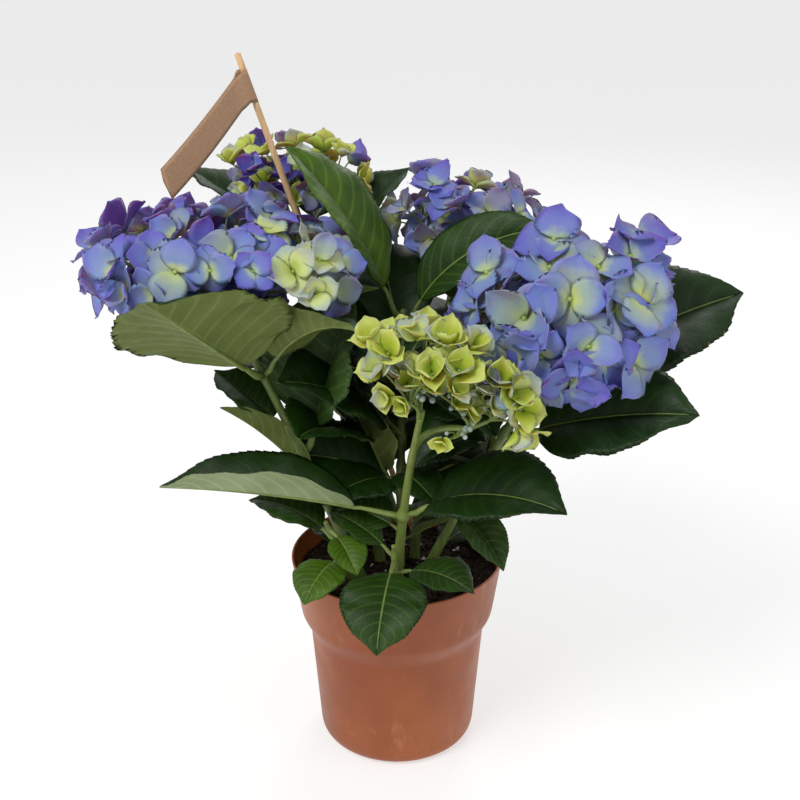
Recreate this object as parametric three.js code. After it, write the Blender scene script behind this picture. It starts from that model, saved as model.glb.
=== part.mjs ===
// A mophead hydrangea in flower, growing in a moulded nursery pot.
// Millimetres, +Z up. The origin is the centre of the pot's flat underside, and -Y is the front.
// Azimuths are in degrees seen from above: 0 is +X, the plant's right, and -90 is its front.
import * as THREE from 'three';

// ---------------------------------------------------------------- driving sizes

const GAP = 0.3; // clear air between neighbouring solids

const POT = {
  height: 135,
  rimRadius: 70, // at the very top
  collarRadius: 64.3, // at the collar's lower edge
  collarHeight: 40, // from the rim down to the step
  stepHeight: 11,
  shoulderRadius: 58.6, // just under the step
  bodyRadius: 53, // low on the body, above its rounded edge
  footRadius: 46, // the flat underside
  footRounding: 8, // height of the rounded edge
  wall: 1.6,
  floor: 2.4,
  segments: 40,
};

const SOIL = {
  belowRim: 14,
  unevenness: 1.5, // most that the surface rises above or falls below its level
  lumpWave: 0.19, // radians of unevenness for each millimetre
  rings: [52, 35, 18],
};

const LIMB = { sides: 7, steps: 8, taper: 0.72 };

const LEAF = {
  stations: [0, 0.07, 0.2, 0.36, 0.54, 0.72, 0.87, 1], // along the blade, after its stalk
  stalk: 0.16, // share of the whole length
  stalkHalf: 1.5,
  midribHalf: 1, // half thickness of the blade at its midrib
  tipHalf: 0.5,
  skew: 0.84, // below 1 sets the widest place nearer the base
  fullness: 0.7, // below 1 makes the outline rounder
  fold: 20, // degrees that each half is lifted by, where a leaf says nothing else
  steps: 24, // of the midrib's curve
};

const BLOOM = {
  detail: 3, // subdivisions of the icosahedron
  underside: 0.5, // depth below the middle, as a share of the height above it
  lobes: 0.07, // how far the clusters of florets swell and sink
  lobeWave: 4.6, // radians of swelling for each radius
  clearOfStem: 1.2,
};

const TAG = {
  stickRadius: 2,
  stickFoot: [14, 34],
  stickTop: [-95, 35, 452],
  bandHeight: 18,
  bandThickness: 0.8,
  bandBelowTop: 8, // from the stick's top to the band's upper edge
  bandReach: [-38, -75, -46], // from the stick to the band's free end
  bandSag: 2,
  bandSteps: 6,
};

// ---------------------------------------------------------------- materials

const finish = (color, roughness) => new THREE.MeshStandardMaterial({ color, roughness, metalness: 0 });

const FINISHES = {
  terracotta: finish(0xb4643c, 0.5),
  soil: finish(0x1d1815, 0.95),
  stem: finish(0x6a8434, 0.6),
  leaf: finish(0x2b5a1c, 0.5),
  blueBloom: finish(0x7383d8, 0.75),
  greenBloom: finish(0xbfcf52, 0.75),
  wood: finish(0xc9a36f, 0.7),
  kraft: finish(0xa8835f, 0.85),
};

// ---------------------------------------------------------------- the plant's plan

// A stem climbs from `foot` on the soil to `top`. `bow` says how soon it leans out: 0.5 is a straight
// stem, and less climbs first. `bloom` is the flower head on its end, leaning by `tilt` towards an azimuth.
// A leaf leaves its stem `at` a share of the way up, towards an azimuth, at the angle `rise`, which falls
// by `bend` along it. Its `size` is length and width, its stalk included. `roll` turns the blade about its
// midrib, and `fold` lifts its halves into a V.
const STEMS = [
  {
    name: 'stem_left', foot: [-24, -12], top: [-104, -16, 314], radius: 3.6, bow: 0.45,
    bloom: { name: 'flower_head_left', radii: [81, 58, 36], tilt: 4, towards: -90, finish: 'blueBloom' },
    leaves: {
      left_broad: { at: 0.75, azimuth: -122, rise: 38, bend: 0, size: [118, 112], roll: 25, fold: 8 },
      left_inner: { at: 0.75, azimuth: -49, rise: 57, bend: 54, size: [104, 52], roll: -23 },
      left_upright: { at: 0.47, azimuth: 30, rise: 76, bend: 10, size: [102, 92], roll: 16, fold: 30 },
      left_pale: { at: 0.56, azimuth: 150, rise: 33, bend: 10, size: [62, 46], fold: 15 },
      left_hind: { at: 0.91, azimuth: 127, rise: 17, bend: 0, size: [103, 62] },
      left_under_head: { at: 0.85, azimuth: 2, rise: 37, bend: 26, size: [84, 46], roll: -14 },
    },
  },
  {
    name: 'stem_front', foot: [0, -22], top: [14, -88, 271], radius: 3.9, bow: 0.25,
    bloom: { name: 'flower_head_front', radii: [45, 34, 35], tilt: 25, towards: -30, finish: 'greenBloom' },
    leaves: {
      front_left: { at: 0.4, azimuth: -179, rise: 15, bend: 14, size: [146, 58], roll: 4, fold: 48 },
      front_right: { at: 0.42, azimuth: -41, rise: 44, bend: 50, size: [122, 68], roll: 20, fold: 15 },
    },
  },
  {
    name: 'stem_right', foot: [20, -4], top: [99, -26, 285], radius: 3.6, bow: 0.4,
    bloom: { name: 'flower_head_right', radii: [66, 55, 46], tilt: 28, towards: -80, finish: 'blueBloom' },
    leaves: {
      right_lower: { at: 0.65, azimuth: -33, rise: 31, bend: 23, size: [126, 76], roll: 35, fold: 15 },
      right_inner: { at: 0.66, azimuth: 60, rise: 40, bend: 45, size: [92, 60] },
      right_cross: { at: 0.8, azimuth: -158, rise: -6, bend: 40, size: [80, 56] },
      right_upper: { at: 0.86, azimuth: 12, rise: 32, bend: 20, size: [138, 84], roll: 30, fold: 15 },
      right_hind: { at: 0.58, azimuth: 83, rise: 42, bend: 42, size: [103, 78], roll: 10 },
    },
  },
  {
    name: 'stem_middle', foot: [2, 4], top: [4, 22, 296], radius: 3.2, bow: 0.3,
    leaves: {
      middle_left: { at: 0.97, azimuth: -177, rise: 72, bend: 27, size: [129, 66], roll: -20, fold: 15 },
      middle_right: { at: 0.95, azimuth: -13, rise: 71, bend: 67, size: [115, 44], roll: 48, fold: 15 },
      middle_front: { at: 0.82, azimuth: -61, rise: 13, bend: 40, size: [108, 88], roll: 1 },
      middle_back: { at: 0.82, azimuth: 102, rise: 60, bend: 50, size: [100, 66], roll: 2 },
      middle_steep: { at: 0.5, azimuth: 150, rise: 69, bend: 7, size: [110, 70], roll: 3, fold: 15 },
      middle_low: { at: 0.36, azimuth: -140, rise: 28, bend: 54, size: [59, 56], roll: -7, fold: 10 },
      middle_low_right: { at: 0.4, azimuth: -25, rise: 55, bend: 54, size: [64, 70], roll: 11, fold: 10 },
      middle_centre_left: { at: 0.3, azimuth: 179, rise: 72, bend: 14, size: [102, 70], roll: 20, fold: 15 },
      middle_rear_low: { at: 0.52, azimuth: 92, rise: 18, bend: 52, size: [96, 80], roll: 1 },
    },
  },
  {
    name: 'stem_back_left', foot: [-12, 14], top: [-68, 80, 352], radius: 3.4, bow: 0.3,
    bloom: { name: 'flower_head_back_left', radii: [50, 42, 28], tilt: 5, towards: -90, finish: 'greenBloom' },
    leaves: {
      back_left_side: { at: 0.81, azimuth: 157, rise: 46, bend: 25, size: [118, 74], roll: 5 },
      back_left_small: { at: 0.8, azimuth: 29, rise: 58, bend: 27, size: [94, 50], roll: 4 },
      back_left_rear: { at: 0.6, azimuth: 95, rise: 40, bend: 50, size: [120, 80] },
      back_left_low: { at: 0.45, azimuth: 165, rise: 35, bend: 50, size: [120, 80] },
      back_left_outer: { at: 0.92, azimuth: 75, rise: 25, bend: 40, size: [96, 70] },
    },
  },
  {
    name: 'stem_back_right', foot: [12, 16], top: [42, 68, 326], radius: 3.4, bow: 0.25,
    bloom: { name: 'flower_head_back_right', radii: [54, 46, 30], tilt: 5, towards: -90, finish: 'blueBloom' },
    leaves: {
      back_right_side: { at: 0.8, azimuth: 25, rise: 30, bend: 50, size: [118, 76] },
      back_right_rear: { at: 0.6, azimuth: 80, rise: 35, bend: 60, size: [120, 78] },
      back_right_low: { at: 0.41, azimuth: 11, rise: 34, bend: 62, size: [109, 74], roll: 5 },
      back_right_cross: { at: 0.72, azimuth: 140, rise: 35, bend: 40, size: [104, 70] },
      back_right_outer: { at: 0.93, azimuth: 60, rise: 25, bend: 40, size: [96, 68] },
    },
  },
  {
    name: 'shoot_left', foot: [-28, -26], top: [-44, -42, 178], radius: 2.4, bow: 0.3,
    leaves: {
      low_left_round: { at: 0.7, azimuth: 163, rise: 49, bend: 60, size: [63, 46], fold: 10 },
      low_left_bumpy: { at: 0.5, azimuth: -120, rise: 20, bend: 70, size: [46, 36], fold: 0 },
      low_left_small: { at: 0.9, azimuth: -60, rise: 0, bend: 50, size: [36, 26], fold: 10 },
    },
  },
  {
    name: 'shoot_front', foot: [0, -38], top: [-2, -50, 166], radius: 2.2, bow: 0.3,
    leaves: {
      front_hanging: { at: 0.7, azimuth: -100, rise: 10, bend: 70, size: [69, 54], roll: 1, fold: 5 },
      front_low_right: { at: 0.5, azimuth: -30, rise: 30, bend: 60, size: [54, 42], fold: 5 },
      front_low_left: { at: 0.8, azimuth: 160, rise: 50, bend: 40, size: [46, 34], fold: 5 },
    },
  },
];

// ---------------------------------------------------------------- small helpers

const soilLevel = POT.height - SOIL.belowRim;
const limbFoot = soilLevel + SOIL.unevenness + GAP;
const up = new THREE.Vector3(0, 0, 1);

const radians = (degrees) => THREE.MathUtils.degToRad(degrees);
const aim = (azimuth, rise) => new THREE.Vector3(
  Math.cos(radians(azimuth)) * Math.cos(radians(rise)),
  Math.sin(radians(azimuth)) * Math.cos(radians(rise)),
  Math.sin(radians(rise)),
);

function named(name, geometry, surface) {
  const mesh = new THREE.Mesh(geometry, surface);
  mesh.name = name;
  return mesh;
}

// Moves every vertex of a geometry to the point that `place(x, y, z)` gives.
function reshape(geometry, place) {
  const position = geometry.getAttribute('position');
  for (let i = 0; i < position.count; i += 1) {
    const moved = place(position.getX(i), position.getY(i), position.getZ(i));
    position.setXYZ(i, moved.x, moved.y, moved.z);
  }
  geometry.computeVertexNormals();
  return geometry;
}

// ---------------------------------------------------------------- pot and soil

// The outside of the pot as [radius, height] pairs, from the edge of the flat underside up to the rim.
function potProfile() {
  const collarFoot = POT.height - POT.collarHeight;
  const profile = [];
  for (const angle of [0, 30, 60, 90]) {
    profile.push([
      POT.footRadius + (POT.bodyRadius - POT.footRadius) * Math.sin(radians(angle)),
      POT.footRounding * (1 - Math.cos(radians(angle))),
    ]);
  }
  profile.push([POT.shoulderRadius, collarFoot - POT.stepHeight]);
  profile.push([POT.collarRadius, collarFoot]);
  profile.push([POT.rimRadius, POT.height]);
  return profile;
}

// Radius of the pot's outside at a height above its rounded edge.
function potRadius(height) {
  const profile = potProfile();
  const above = profile.findIndex(([, z]) => z >= height);
  const [lowRadius, low] = profile[above - 1];
  const [highRadius, high] = profile[above];
  return lowRadius + ((highRadius - lowRadius) * (height - low)) / (high - low);
}

// Turns [radius, height] pairs about the vertical axis into a closed solid standing on +Z.
function turned(pairs) {
  const lathe = new THREE.LatheGeometry(pairs.map(([r, z]) => new THREE.Vector2(r, z)), POT.segments);
  return lathe.rotateX(Math.PI / 2);
}

function makePot() {
  const outside = potProfile();
  const inside = outside
    .filter(([, z]) => z >= POT.footRounding)
    .map(([r, z]) => [r - POT.wall, z])
    .reverse();
  const floorRadius = POT.footRadius - POT.wall;
  return named('pot', turned([[0, 0], ...outside, ...inside, [floorRadius, POT.floor], [0, POT.floor]]),
    FINISHES.terracotta);
}

// The root ball fills the pot up to the soil's uneven surface.
function makeSoil() {
  const margin = POT.wall + GAP;
  const side = potProfile()
    .filter(([, z]) => z >= POT.footRounding && z < soilLevel)
    .map(([r, z]) => [r - margin, z]);
  const bottom = POT.floor + GAP;
  const pairs = [
    [0, bottom],
    [POT.footRadius - margin, bottom],
    ...side,
    [potRadius(soilLevel) - margin, soilLevel],
    ...SOIL.rings.map((r) => [r, soilLevel]),
    [0, soilLevel],
  ];
  const lumpy = (x, y, z) => {
    const radius = Math.hypot(x, y);
    const onTop = z > soilLevel - GAP && radius < SOIL.rings[0] + 1;
    const lump = Math.sin(x * SOIL.lumpWave + 1) * Math.cos(y * SOIL.lumpWave) * SOIL.unevenness;
    return new THREE.Vector3(x, y, onTop ? z + lump : z);
  };
  return named('soil', reshape(turned(pairs), lumpy), FINISHES.soil);
}

// ---------------------------------------------------------------- stems

function stemCurve({ foot, top, bow }) {
  const start = new THREE.Vector3(foot[0], foot[1], limbFoot);
  const end = new THREE.Vector3(...top);
  const middle = new THREE.Vector3(
    THREE.MathUtils.lerp(start.x, end.x, bow),
    THREE.MathUtils.lerp(start.y, end.y, bow),
    THREE.MathUtils.lerp(start.z, end.z, 0.5),
  );
  return new THREE.QuadraticBezierCurve3(start, middle, end);
}

const stemRadius = (stem, at) => stem.radius * THREE.MathUtils.lerp(1, LIMB.taper, at);

// A cylinder bent along a curve, tapering upwards, with its lower end cut level.
function makeStem(stem) {
  const curve = stemCurve(stem);
  const frames = curve.computeFrenetFrames(LIMB.steps, false);
  const rod = new THREE.CylinderGeometry(1, 1, 1, LIMB.sides, LIMB.steps);
  return named(stem.name, reshape(rod, (x, y, z) => {
    const at = y + 0.5;
    const ring = Math.round(at * LIMB.steps);
    const radius = stemRadius(stem, at);
    const moved = curve.getPoint(ring / LIMB.steps)
      .addScaledVector(frames.normals[ring], -x * radius)
      .addScaledVector(frames.binormals[ring], z * radius);
    if (ring === 0) moved.z = limbFoot;
    return moved;
  }), FINISHES.stem);
}

// ---------------------------------------------------------------- leaves

// Half the width of a blade at a share of the way along it, as a share of its greatest half width.
const outline = (along) => Math.max(0, Math.sin(Math.PI * along ** LEAF.skew)) ** LEAF.fullness;

// The midrib's points and directions from the stalk's foot to the tip, heading along +X.
function midrib(length, rise, bend) {
  const points = [new THREE.Vector3()];
  const headings = [aim(0, rise)];
  for (let i = 0; i < LEAF.steps; i += 1) {
    const heading = aim(0, rise - (bend * (i + 0.5)) / LEAF.steps);
    points.push(points[i].clone().addScaledVector(heading, length / LEAF.steps));
    headings.push(aim(0, rise - (bend * (i + 1)) / LEAF.steps));
  }
  return { points, headings };
}

// A thin blade of diamond section about its midrib, narrowing to a stalk at its foot and a point at its tip.
function makeLeaf(stem, name, leaf) {
  const { size: [length, width], rise, bend, roll = 0, fold = LEAF.fold } = leaf;
  const { points, headings } = midrib(length, rise, bend);
  const stations = [0, ...LEAF.stations.map((s) => LEAF.stalk + (1 - LEAF.stalk) * s)];
  const rod = new THREE.CylinderGeometry(1, 1, 1, 4, stations.length - 1);
  const blade = reshape(rod, (x, y, z) => {
    const ring = Math.round((y + 0.5) * (stations.length - 1));
    const along = (stations[ring] - LEAF.stalk) / (1 - LEAF.stalk);
    const step = Math.round(stations[ring] * LEAF.steps);
    const halfWidth = Math.max(LEAF.stalkHalf, along > 0 ? outline(along) * (width / 2) : 0);
    const halfThickness = THREE.MathUtils.lerp(LEAF.midribHalf, LEAF.tipHalf, Math.max(along, 0));
    const heading = headings[step];
    const side = up.clone().cross(heading).normalize().applyAxisAngle(heading, radians(roll));
    const normal = heading.clone().cross(side);
    const lift = along > 0 ? radians(fold) : 0;
    return points[step].clone()
      .addScaledVector(side, -Math.cos(lift) * x * halfWidth)
      .addScaledVector(normal, Math.sin(lift) * Math.abs(x) * halfWidth + z * halfThickness);
  });
  const mesh = named(`leaf_${name}`, blade, FINISHES.leaf);
  const node = stemCurve(stem).getPoint(leaf.at);
  const along = stemCurve(stem).getTangent(leaf.at);
  const outward = aim(leaf.azimuth, leaf.rise).projectOnPlane(along).normalize();
  mesh.position.copy(node).addScaledVector(outward, stemRadius(stem, leaf.at) + LEAF.stalkHalf + GAP);
  mesh.rotation.z = radians(leaf.azimuth);
  return mesh;
}

// ---------------------------------------------------------------- flower heads

// An uneven dome, swelling where its clusters of florets stand, with a shallow underside.
function makeBloom(stem) {
  const { name, radii, tilt, towards, finish: surface } = stem.bloom;
  const wave = BLOOM.lobeWave;
  const dome = new THREE.IcosahedronGeometry(1, BLOOM.detail);
  reshape(dome, (x, y, z) => {
    const clusters = Math.sin(wave * x + stem.foot[0]) * Math.cos(wave * y + stem.foot[1])
      + Math.sin(wave * z + x) / 2;
    const swell = 1 + BLOOM.lobes * clusters;
    const height = z > 0 ? z : z * BLOOM.underside;
    return new THREE.Vector3(x * radii[0] * swell, y * radii[1] * swell, height * radii[2] * swell);
  });
  const mesh = named(name, dome, FINISHES[surface]);
  const leanAxis = up.clone().cross(aim(towards, 0));
  mesh.quaternion.setFromAxisAngle(leanAxis, radians(tilt));
  const axis = up.clone().applyQuaternion(mesh.quaternion);
  const depth = radii[2] * BLOOM.underside * (1 + BLOOM.lobes) + BLOOM.clearOfStem;
  mesh.position.set(...stem.top).addScaledVector(axis, depth);
  return mesh;
}

// ---------------------------------------------------------------- label

// Both ends of the stick's axis. It stands on the soil, leaning.
function stickEnds() {
  const foot = new THREE.Vector3(...TAG.stickFoot, limbFoot + TAG.stickRadius);
  return { foot, top: new THREE.Vector3(...TAG.stickTop) };
}

function makeStick() {
  const { foot, top } = stickEnds();
  const run = top.clone().sub(foot);
  const rod = new THREE.CylinderGeometry(TAG.stickRadius, TAG.stickRadius, run.length(), LIMB.sides + 1);
  const mesh = named('label_stick', rod, FINISHES.wood);
  mesh.position.copy(foot).addScaledVector(run, 0.5);
  mesh.quaternion.setFromUnitVectors(new THREE.Vector3(0, 1, 0), run.normalize());
  return mesh;
}

// A band of card that leaves the stick and sags a little on its way to its free end.
function makeFlag() {
  const { foot, top } = stickEnds();
  const down = foot.clone().sub(top).normalize();
  const reach = new THREE.Vector3(...TAG.bandReach);
  const along = reach.clone().normalize();
  const start = top.clone()
    .addScaledVector(down, TAG.bandBelowTop)
    .addScaledVector(along, TAG.stickRadius + GAP);
  const sag = new THREE.Vector3(0, 0, -TAG.bandSag);
  const thickness = along.clone().cross(down).normalize();
  const card = new THREE.BoxGeometry(1, 1, 1, TAG.bandSteps, 1, 1);
  return named('label_flag', reshape(card, (x, y, z) => {
    const share = x + 0.5;
    return start.clone()
      .addScaledVector(reach, share)
      .addScaledVector(sag, Math.sin(Math.PI * share))
      .addScaledVector(down, (0.5 - y) * TAG.bandHeight)
      .addScaledVector(thickness, -z * TAG.bandThickness);
  }), FINISHES.kraft);
}

// ---------------------------------------------------------------- assembly

const hydrangea = new THREE.Group();
hydrangea.add(makePot(), makeSoil(), makeStick(), makeFlag());
for (const stem of STEMS) {
  hydrangea.add(makeStem(stem));
  if (stem.bloom) hydrangea.add(makeBloom(stem));
  for (const [leafName, leaf] of Object.entries(stem.leaves)) hydrangea.add(makeLeaf(stem, leafName, leaf));
}

export default hydrangea;
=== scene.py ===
import math
import random

import bpy
import numpy as np
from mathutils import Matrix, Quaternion, Vector, noise
from mathutils.bvhtree import BVHTree


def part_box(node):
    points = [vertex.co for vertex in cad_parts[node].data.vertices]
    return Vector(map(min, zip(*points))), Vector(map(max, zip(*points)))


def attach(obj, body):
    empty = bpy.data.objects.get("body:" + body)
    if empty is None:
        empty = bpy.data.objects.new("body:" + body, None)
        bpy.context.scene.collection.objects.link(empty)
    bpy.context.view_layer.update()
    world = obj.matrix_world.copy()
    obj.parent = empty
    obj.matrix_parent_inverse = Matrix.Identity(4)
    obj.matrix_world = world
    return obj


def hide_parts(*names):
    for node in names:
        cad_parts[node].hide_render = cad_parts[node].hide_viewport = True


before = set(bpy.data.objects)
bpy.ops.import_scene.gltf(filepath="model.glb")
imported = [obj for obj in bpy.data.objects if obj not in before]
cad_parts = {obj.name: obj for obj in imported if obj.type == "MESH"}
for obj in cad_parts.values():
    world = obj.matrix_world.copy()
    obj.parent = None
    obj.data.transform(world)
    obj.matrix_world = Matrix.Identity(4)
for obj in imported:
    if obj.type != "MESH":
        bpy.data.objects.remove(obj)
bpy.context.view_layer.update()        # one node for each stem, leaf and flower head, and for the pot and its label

# A mophead hydrangea in its nursery pot. Metres, +Z up, -Y towards the front.
# The frame's nodes give the line, size and place of every stem, leaf and flower head. What is set here is
# their fine detail, the florets that show most, and the smaller leaves between the stems.

UP = Vector((0, 0, 1))
MM = 0.001

CAMERA = dict(place=(0.002, -0.7, 0.525), down=21.9, lens=53.55, sensor=36)

CUTS = dict(        # how many cuts through a node give its shape
    stem=14,
    leaf=44,
    pot=90,
    stick=12,
    card=26,
)

LEAF = dict(
    teeth=24,           # along each edge
    side_veins=8,       # on each half of a blade
    columns=(0, 0.05, 0.2, 0.38, 0.56, 0.74, 0.89, 1),
    tooth_steps=(0, 0.45, 0.8, 0.97),   # places within one tooth, and how far each stands out
    tooth_rise=(0, 0.55, 1, 0.15),
    tooth_depth=0.022,  # share of the half width
    quilting=0.9 * MM,  # how far the blade bulges between its side veins
    edge_wave=1.6 * MM,
    thickness=0.5 * MM,
    petiole=1.7 * MM,   # radius where it leaves the blade of a large leaf
)

SEPAL = dict(
    rows=10,
    columns=7,
    thickness=0.35 * MM,
    heart_end=0.4,      # share of a sepal's length at which its heart's colour has gone
    rim_start=(0.4, 0.92),
    rim_tint=0.175,     # how much sooner the colours change along a sepal's edges
    wander=0.35,        # how unevenly they change
)

FLORET = dict(
    sepals=4,
    own_colour=0.75,    # share of sepals that have the floret's own colour, and not the colour next to it
    length=(0.88, 1.12),
    width=(0.98, 1.2),  # share of a sepal's length
    lift=(1.05, 0.18),  # rise of a sepal from the floret's plane, in radians, when closed and when open
    curl=(-0.2, -0.45),
    upper_lift=(0.04, 0.2),     # how much more the two upper sepals rise, and the two lower ones less
    upper_curl=(0.0, 0.42),
    upper_step=0.07,    # how far above the lower sepals the upper ones stand, as a share of their length
    cup=(-0.12, 0.42),
    closed_cup=0.3,
    wave=(0.02, 0.09),
    lap=(0.0, 0.06),    # roll of each sepal over the next one, in radians
    bud=(0.075, 0.075, 0.085),
    bud_height=0.06,
)

GROWTH = dict(
    steps=50,               # points along a grown leaf's line
    stalk=0.15,             # share of its length
    spacing=17 * MM,        # between joints, where leaves stand in pairs
    lowest=16 * MM,         # above the compost
    below_head=34 * MM,
    tries=40,
    length=(50 * MM, 104 * MM),
    width=(0.52, 0.66),     # share of the length
    aside=42,               # degrees either way from the place that the pair's turn gives
    rise=(15, 72),
    bend=(15, 60),
    roll=14,
    fold=(6, 26),
    sway=22,
    middle=(0.0, 42 * MM),  # of the room that they may fill, seen from above
    room=(84 * MM, 88 * MM),
    most=34,
)

STEM = dict(
    rings=90,
    sides=12,
    joint_swell=0.3,        # share of the radius
    joint_reach=3.2 * MM,
    foot_swell=0.22,
    foot_reach=12 * MM,
    ridges=0.07,
)

SEEDS = dict(growth=5, grown_leaves=100, heads=40, compost=11)

UV_NAME = "OFBake"
WHOLE_MAP = (0.02, 0.02, 0.98, 0.98)    # low and high corners of the part of the map that is used
STALK_MAP = (0.47, 0.0, 0.49, 1.0)      # the strip beside a leaf's upper face


# ------------------------------------------------------------------ small helpers

def linear(red, green, blue):
    """A display colour, each part 0 to 255, as the linear colour that shaders take."""
    def part(value):
        value /= 255
        return value / 12.92 if value <= 0.04045 else ((value + 0.055) / 1.055) ** 2.4
    return (part(red), part(green), part(blue), 1.0)


def unit(vectors):
    """Rows of vectors at unit length."""
    size = np.linalg.norm(vectors, axis=-1, keepdims=True)
    return vectors / np.maximum(size, 1e-12)


def mix(a, b, share):
    return a + (b - a) * share


def smooth_step(value):
    value = np.clip(value, 0, 1)
    return value * value * (3 - 2 * value)


# ------------------------------------------------------------------ meshes made of many small pieces

class Build:
    """Collects vertices, faces, a material number for each face and a map place for each face corner."""

    def __init__(self):
        self.points = []
        self.faces = []
        self.slots = []
        self.places = []
        self.count = 0

    def add(self, points, faces, slot, places):
        """`faces` index `points`; `places` holds one map place for each corner, face by face."""
        self.points.append(np.asarray(points, float).reshape(-1, 3))
        base = self.count
        self.count += len(self.points[-1])
        self.faces.extend(tuple(base + i for i in face) for face in faces)
        if isinstance(slot, int):
            slot = [slot] * len(faces)
        self.slots.extend(slot)
        self.places.append(np.asarray(places, float).reshape(-1, 2))

    def shell(self, top, bottom, top_map, bottom_map, slots):
        """A closed thin shell: two grids of points that share the vertices along their border."""
        rows, columns = top.shape[:2]
        upper = np.arange(rows * columns).reshape(rows, columns)
        lower = upper.copy()
        lower[1:-1, 1:-1] = rows * columns + np.arange(
            (rows - 2) * (columns - 2)).reshape(rows - 2, columns - 2)
        points = np.concatenate([top.reshape(-1, 3), bottom[1:-1, 1:-1].reshape(-1, 3)])

        def corners(grid):
            return np.stack([grid[:-1, :-1], grid[1:, :-1], grid[1:, 1:], grid[:-1, 1:]], axis=2)

        faces = []
        places = []
        for grid, chart, turn in ((upper, top_map, 1), (lower, bottom_map, -1)):
            faces.append(corners(grid)[:, :, ::turn].reshape(-1, 4))
            places.append(corners(chart)[:, :, ::turn].reshape(-1, 2))
        each = len(faces[0])
        self.add(points, np.concatenate(faces).tolist(), [slots[0]] * each + [slots[1]] * each,
                 np.concatenate(places))

    def tube(self, centres, radii, sides, slot, cell=STALK_MAP, relief=None):
        """A closed tube along points, with its ends drawn in to a blunt point."""
        centres = np.asarray(centres, float)
        radii = np.broadcast_to(np.asarray(radii, float), (len(centres),)).copy()
        heading = unit(np.gradient(centres, axis=0))
        side = np.cross(heading[0], (0.31, 0.83, 0.46))
        rings = []
        for k, (centre, ahead) in enumerate(zip(centres, heading)):
            side = side - ahead * side.dot(ahead)
            side /= np.linalg.norm(side)
            other = np.cross(ahead, side)
            turn = np.linspace(0, 2 * math.pi, sides, endpoint=False)[:, None]
            round_it = np.cos(turn) * side + np.sin(turn) * other
            size = radii[k]
            if relief is not None:
                size = size * relief(centre, round_it)[:, None]
            rings.append(centre + round_it * size)
        first = centres[0] - heading[0] * radii[0] * 0.5
        last = centres[-1] + heading[-1] * radii[-1] * 0.5
        points = np.concatenate([np.concatenate(rings), [first, last]])
        steps = len(centres)
        faces = []
        places = []
        low_u, low_v, high_u, high_v = cell

        def at(k, j):
            return (mix(low_u, high_u, j / sides), mix(low_v, high_v, k / (steps - 1)))

        for k in range(steps - 1):
            for j in range(sides):
                after = (j + 1) % sides
                faces.append((k * sides + j, k * sides + after, (k + 1) * sides + after, (k + 1) * sides + j))
                places += [at(k, j), at(k, j + 1), at(k + 1, j + 1), at(k + 1, j)]
        for j in range(sides):
            after = (j + 1) % sides
            faces.append((after, j, steps * sides))
            places += [at(0, j + 1), at(0, j), at(0, j + 0.5)]
            faces.append(((steps - 1) * sides + j, (steps - 1) * sides + after, steps * sides + 1))
            places += [at(steps - 1, j), at(steps - 1, j + 1), at(steps - 1, j + 0.5)]
        self.add(points, faces, slot, places)

    def blob(self, centre, radii, turn, slot, place=(0.48, 0.5), jitter=0.0, seed=0):
        """A small rounded lump, from a once-divided octahedron."""
        points = BLOB_POINTS * np.asarray(radii, float)
        if jitter:
            shake = np.random.default_rng(seed)
            points = points * (1 + jitter * shake.uniform(-1, 1, (len(points), 1)))
        points = points @ np.array(turn.to_matrix()).T + np.asarray(centre, float)
        self.add(points, BLOB_FACES, slot, [place] * (3 * len(BLOB_FACES)))

    def merge(self, other):
        self.faces.extend(tuple(self.count + i for i in face) for face in other.faces)
        self.points += other.points
        self.slots += other.slots
        self.places += other.places
        self.count += other.count

    def tree(self):
        return BVHTree.FromPolygons(np.concatenate(self.points).tolist(), self.faces)

    def make(self, name, materials):
        mesh = bpy.data.meshes.new(name)
        mesh.from_pydata(np.concatenate(self.points).tolist(), [], self.faces)
        for surface in materials:
            mesh.materials.append(surface)
        mesh.polygons.foreach_set("material_index", self.slots)
        mesh.polygons.foreach_set("use_smooth", [True] * len(self.faces))
        layer = mesh.uv_layers.new(name=UV_NAME)
        layer.data.foreach_set("uv", np.concatenate(self.places).ravel())
        mesh.validate()
        mesh.update()
        piece = bpy.data.objects.new(name, mesh)
        bpy.context.scene.collection.objects.link(piece)
        return piece


def lump_template():
    """The 18 points and 32 faces of an octahedron whose faces are each cut in four and pushed out."""
    corners = [(1, 0, 0), (-1, 0, 0), (0, 1, 0), (0, -1, 0), (0, 0, 1), (0, 0, -1)]
    faces = []
    for x in (0, 1):
        for y in (2, 3):
            for z in (4, 5):
                faces.append((x, y, z) if (x + y + z) % 2 == 0 else (y, x, z))
    points = [np.array(c, float) for c in corners]
    middles = {}

    def middle(a, b):
        key = (min(a, b), max(a, b))
        if key not in middles:
            middles[key] = len(points)
            points.append(unit(points[a] + points[b]))
        return middles[key]

    finer = []
    for a, b, c in faces:
        ab, bc, ca = middle(a, b), middle(b, c), middle(c, a)
        finer += [(a, ab, ca), (ab, b, bc), (ca, bc, c), (ab, bc, ca)]
    return np.array(points), finer


BLOB_POINTS, BLOB_FACES = lump_template()


# ------------------------------------------------------------------ reading the frame's solids

def triangles(node):
    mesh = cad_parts[node].data
    mesh.calc_loop_triangles()
    points = np.empty(len(mesh.vertices) * 3)
    mesh.vertices.foreach_get("co", points)
    index = np.empty(len(mesh.loop_triangles) * 3, int)
    mesh.loop_triangles.foreach_get("vertices", index)
    return points.reshape(-1, 3)[index].reshape(-1, 3, 3)


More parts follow.
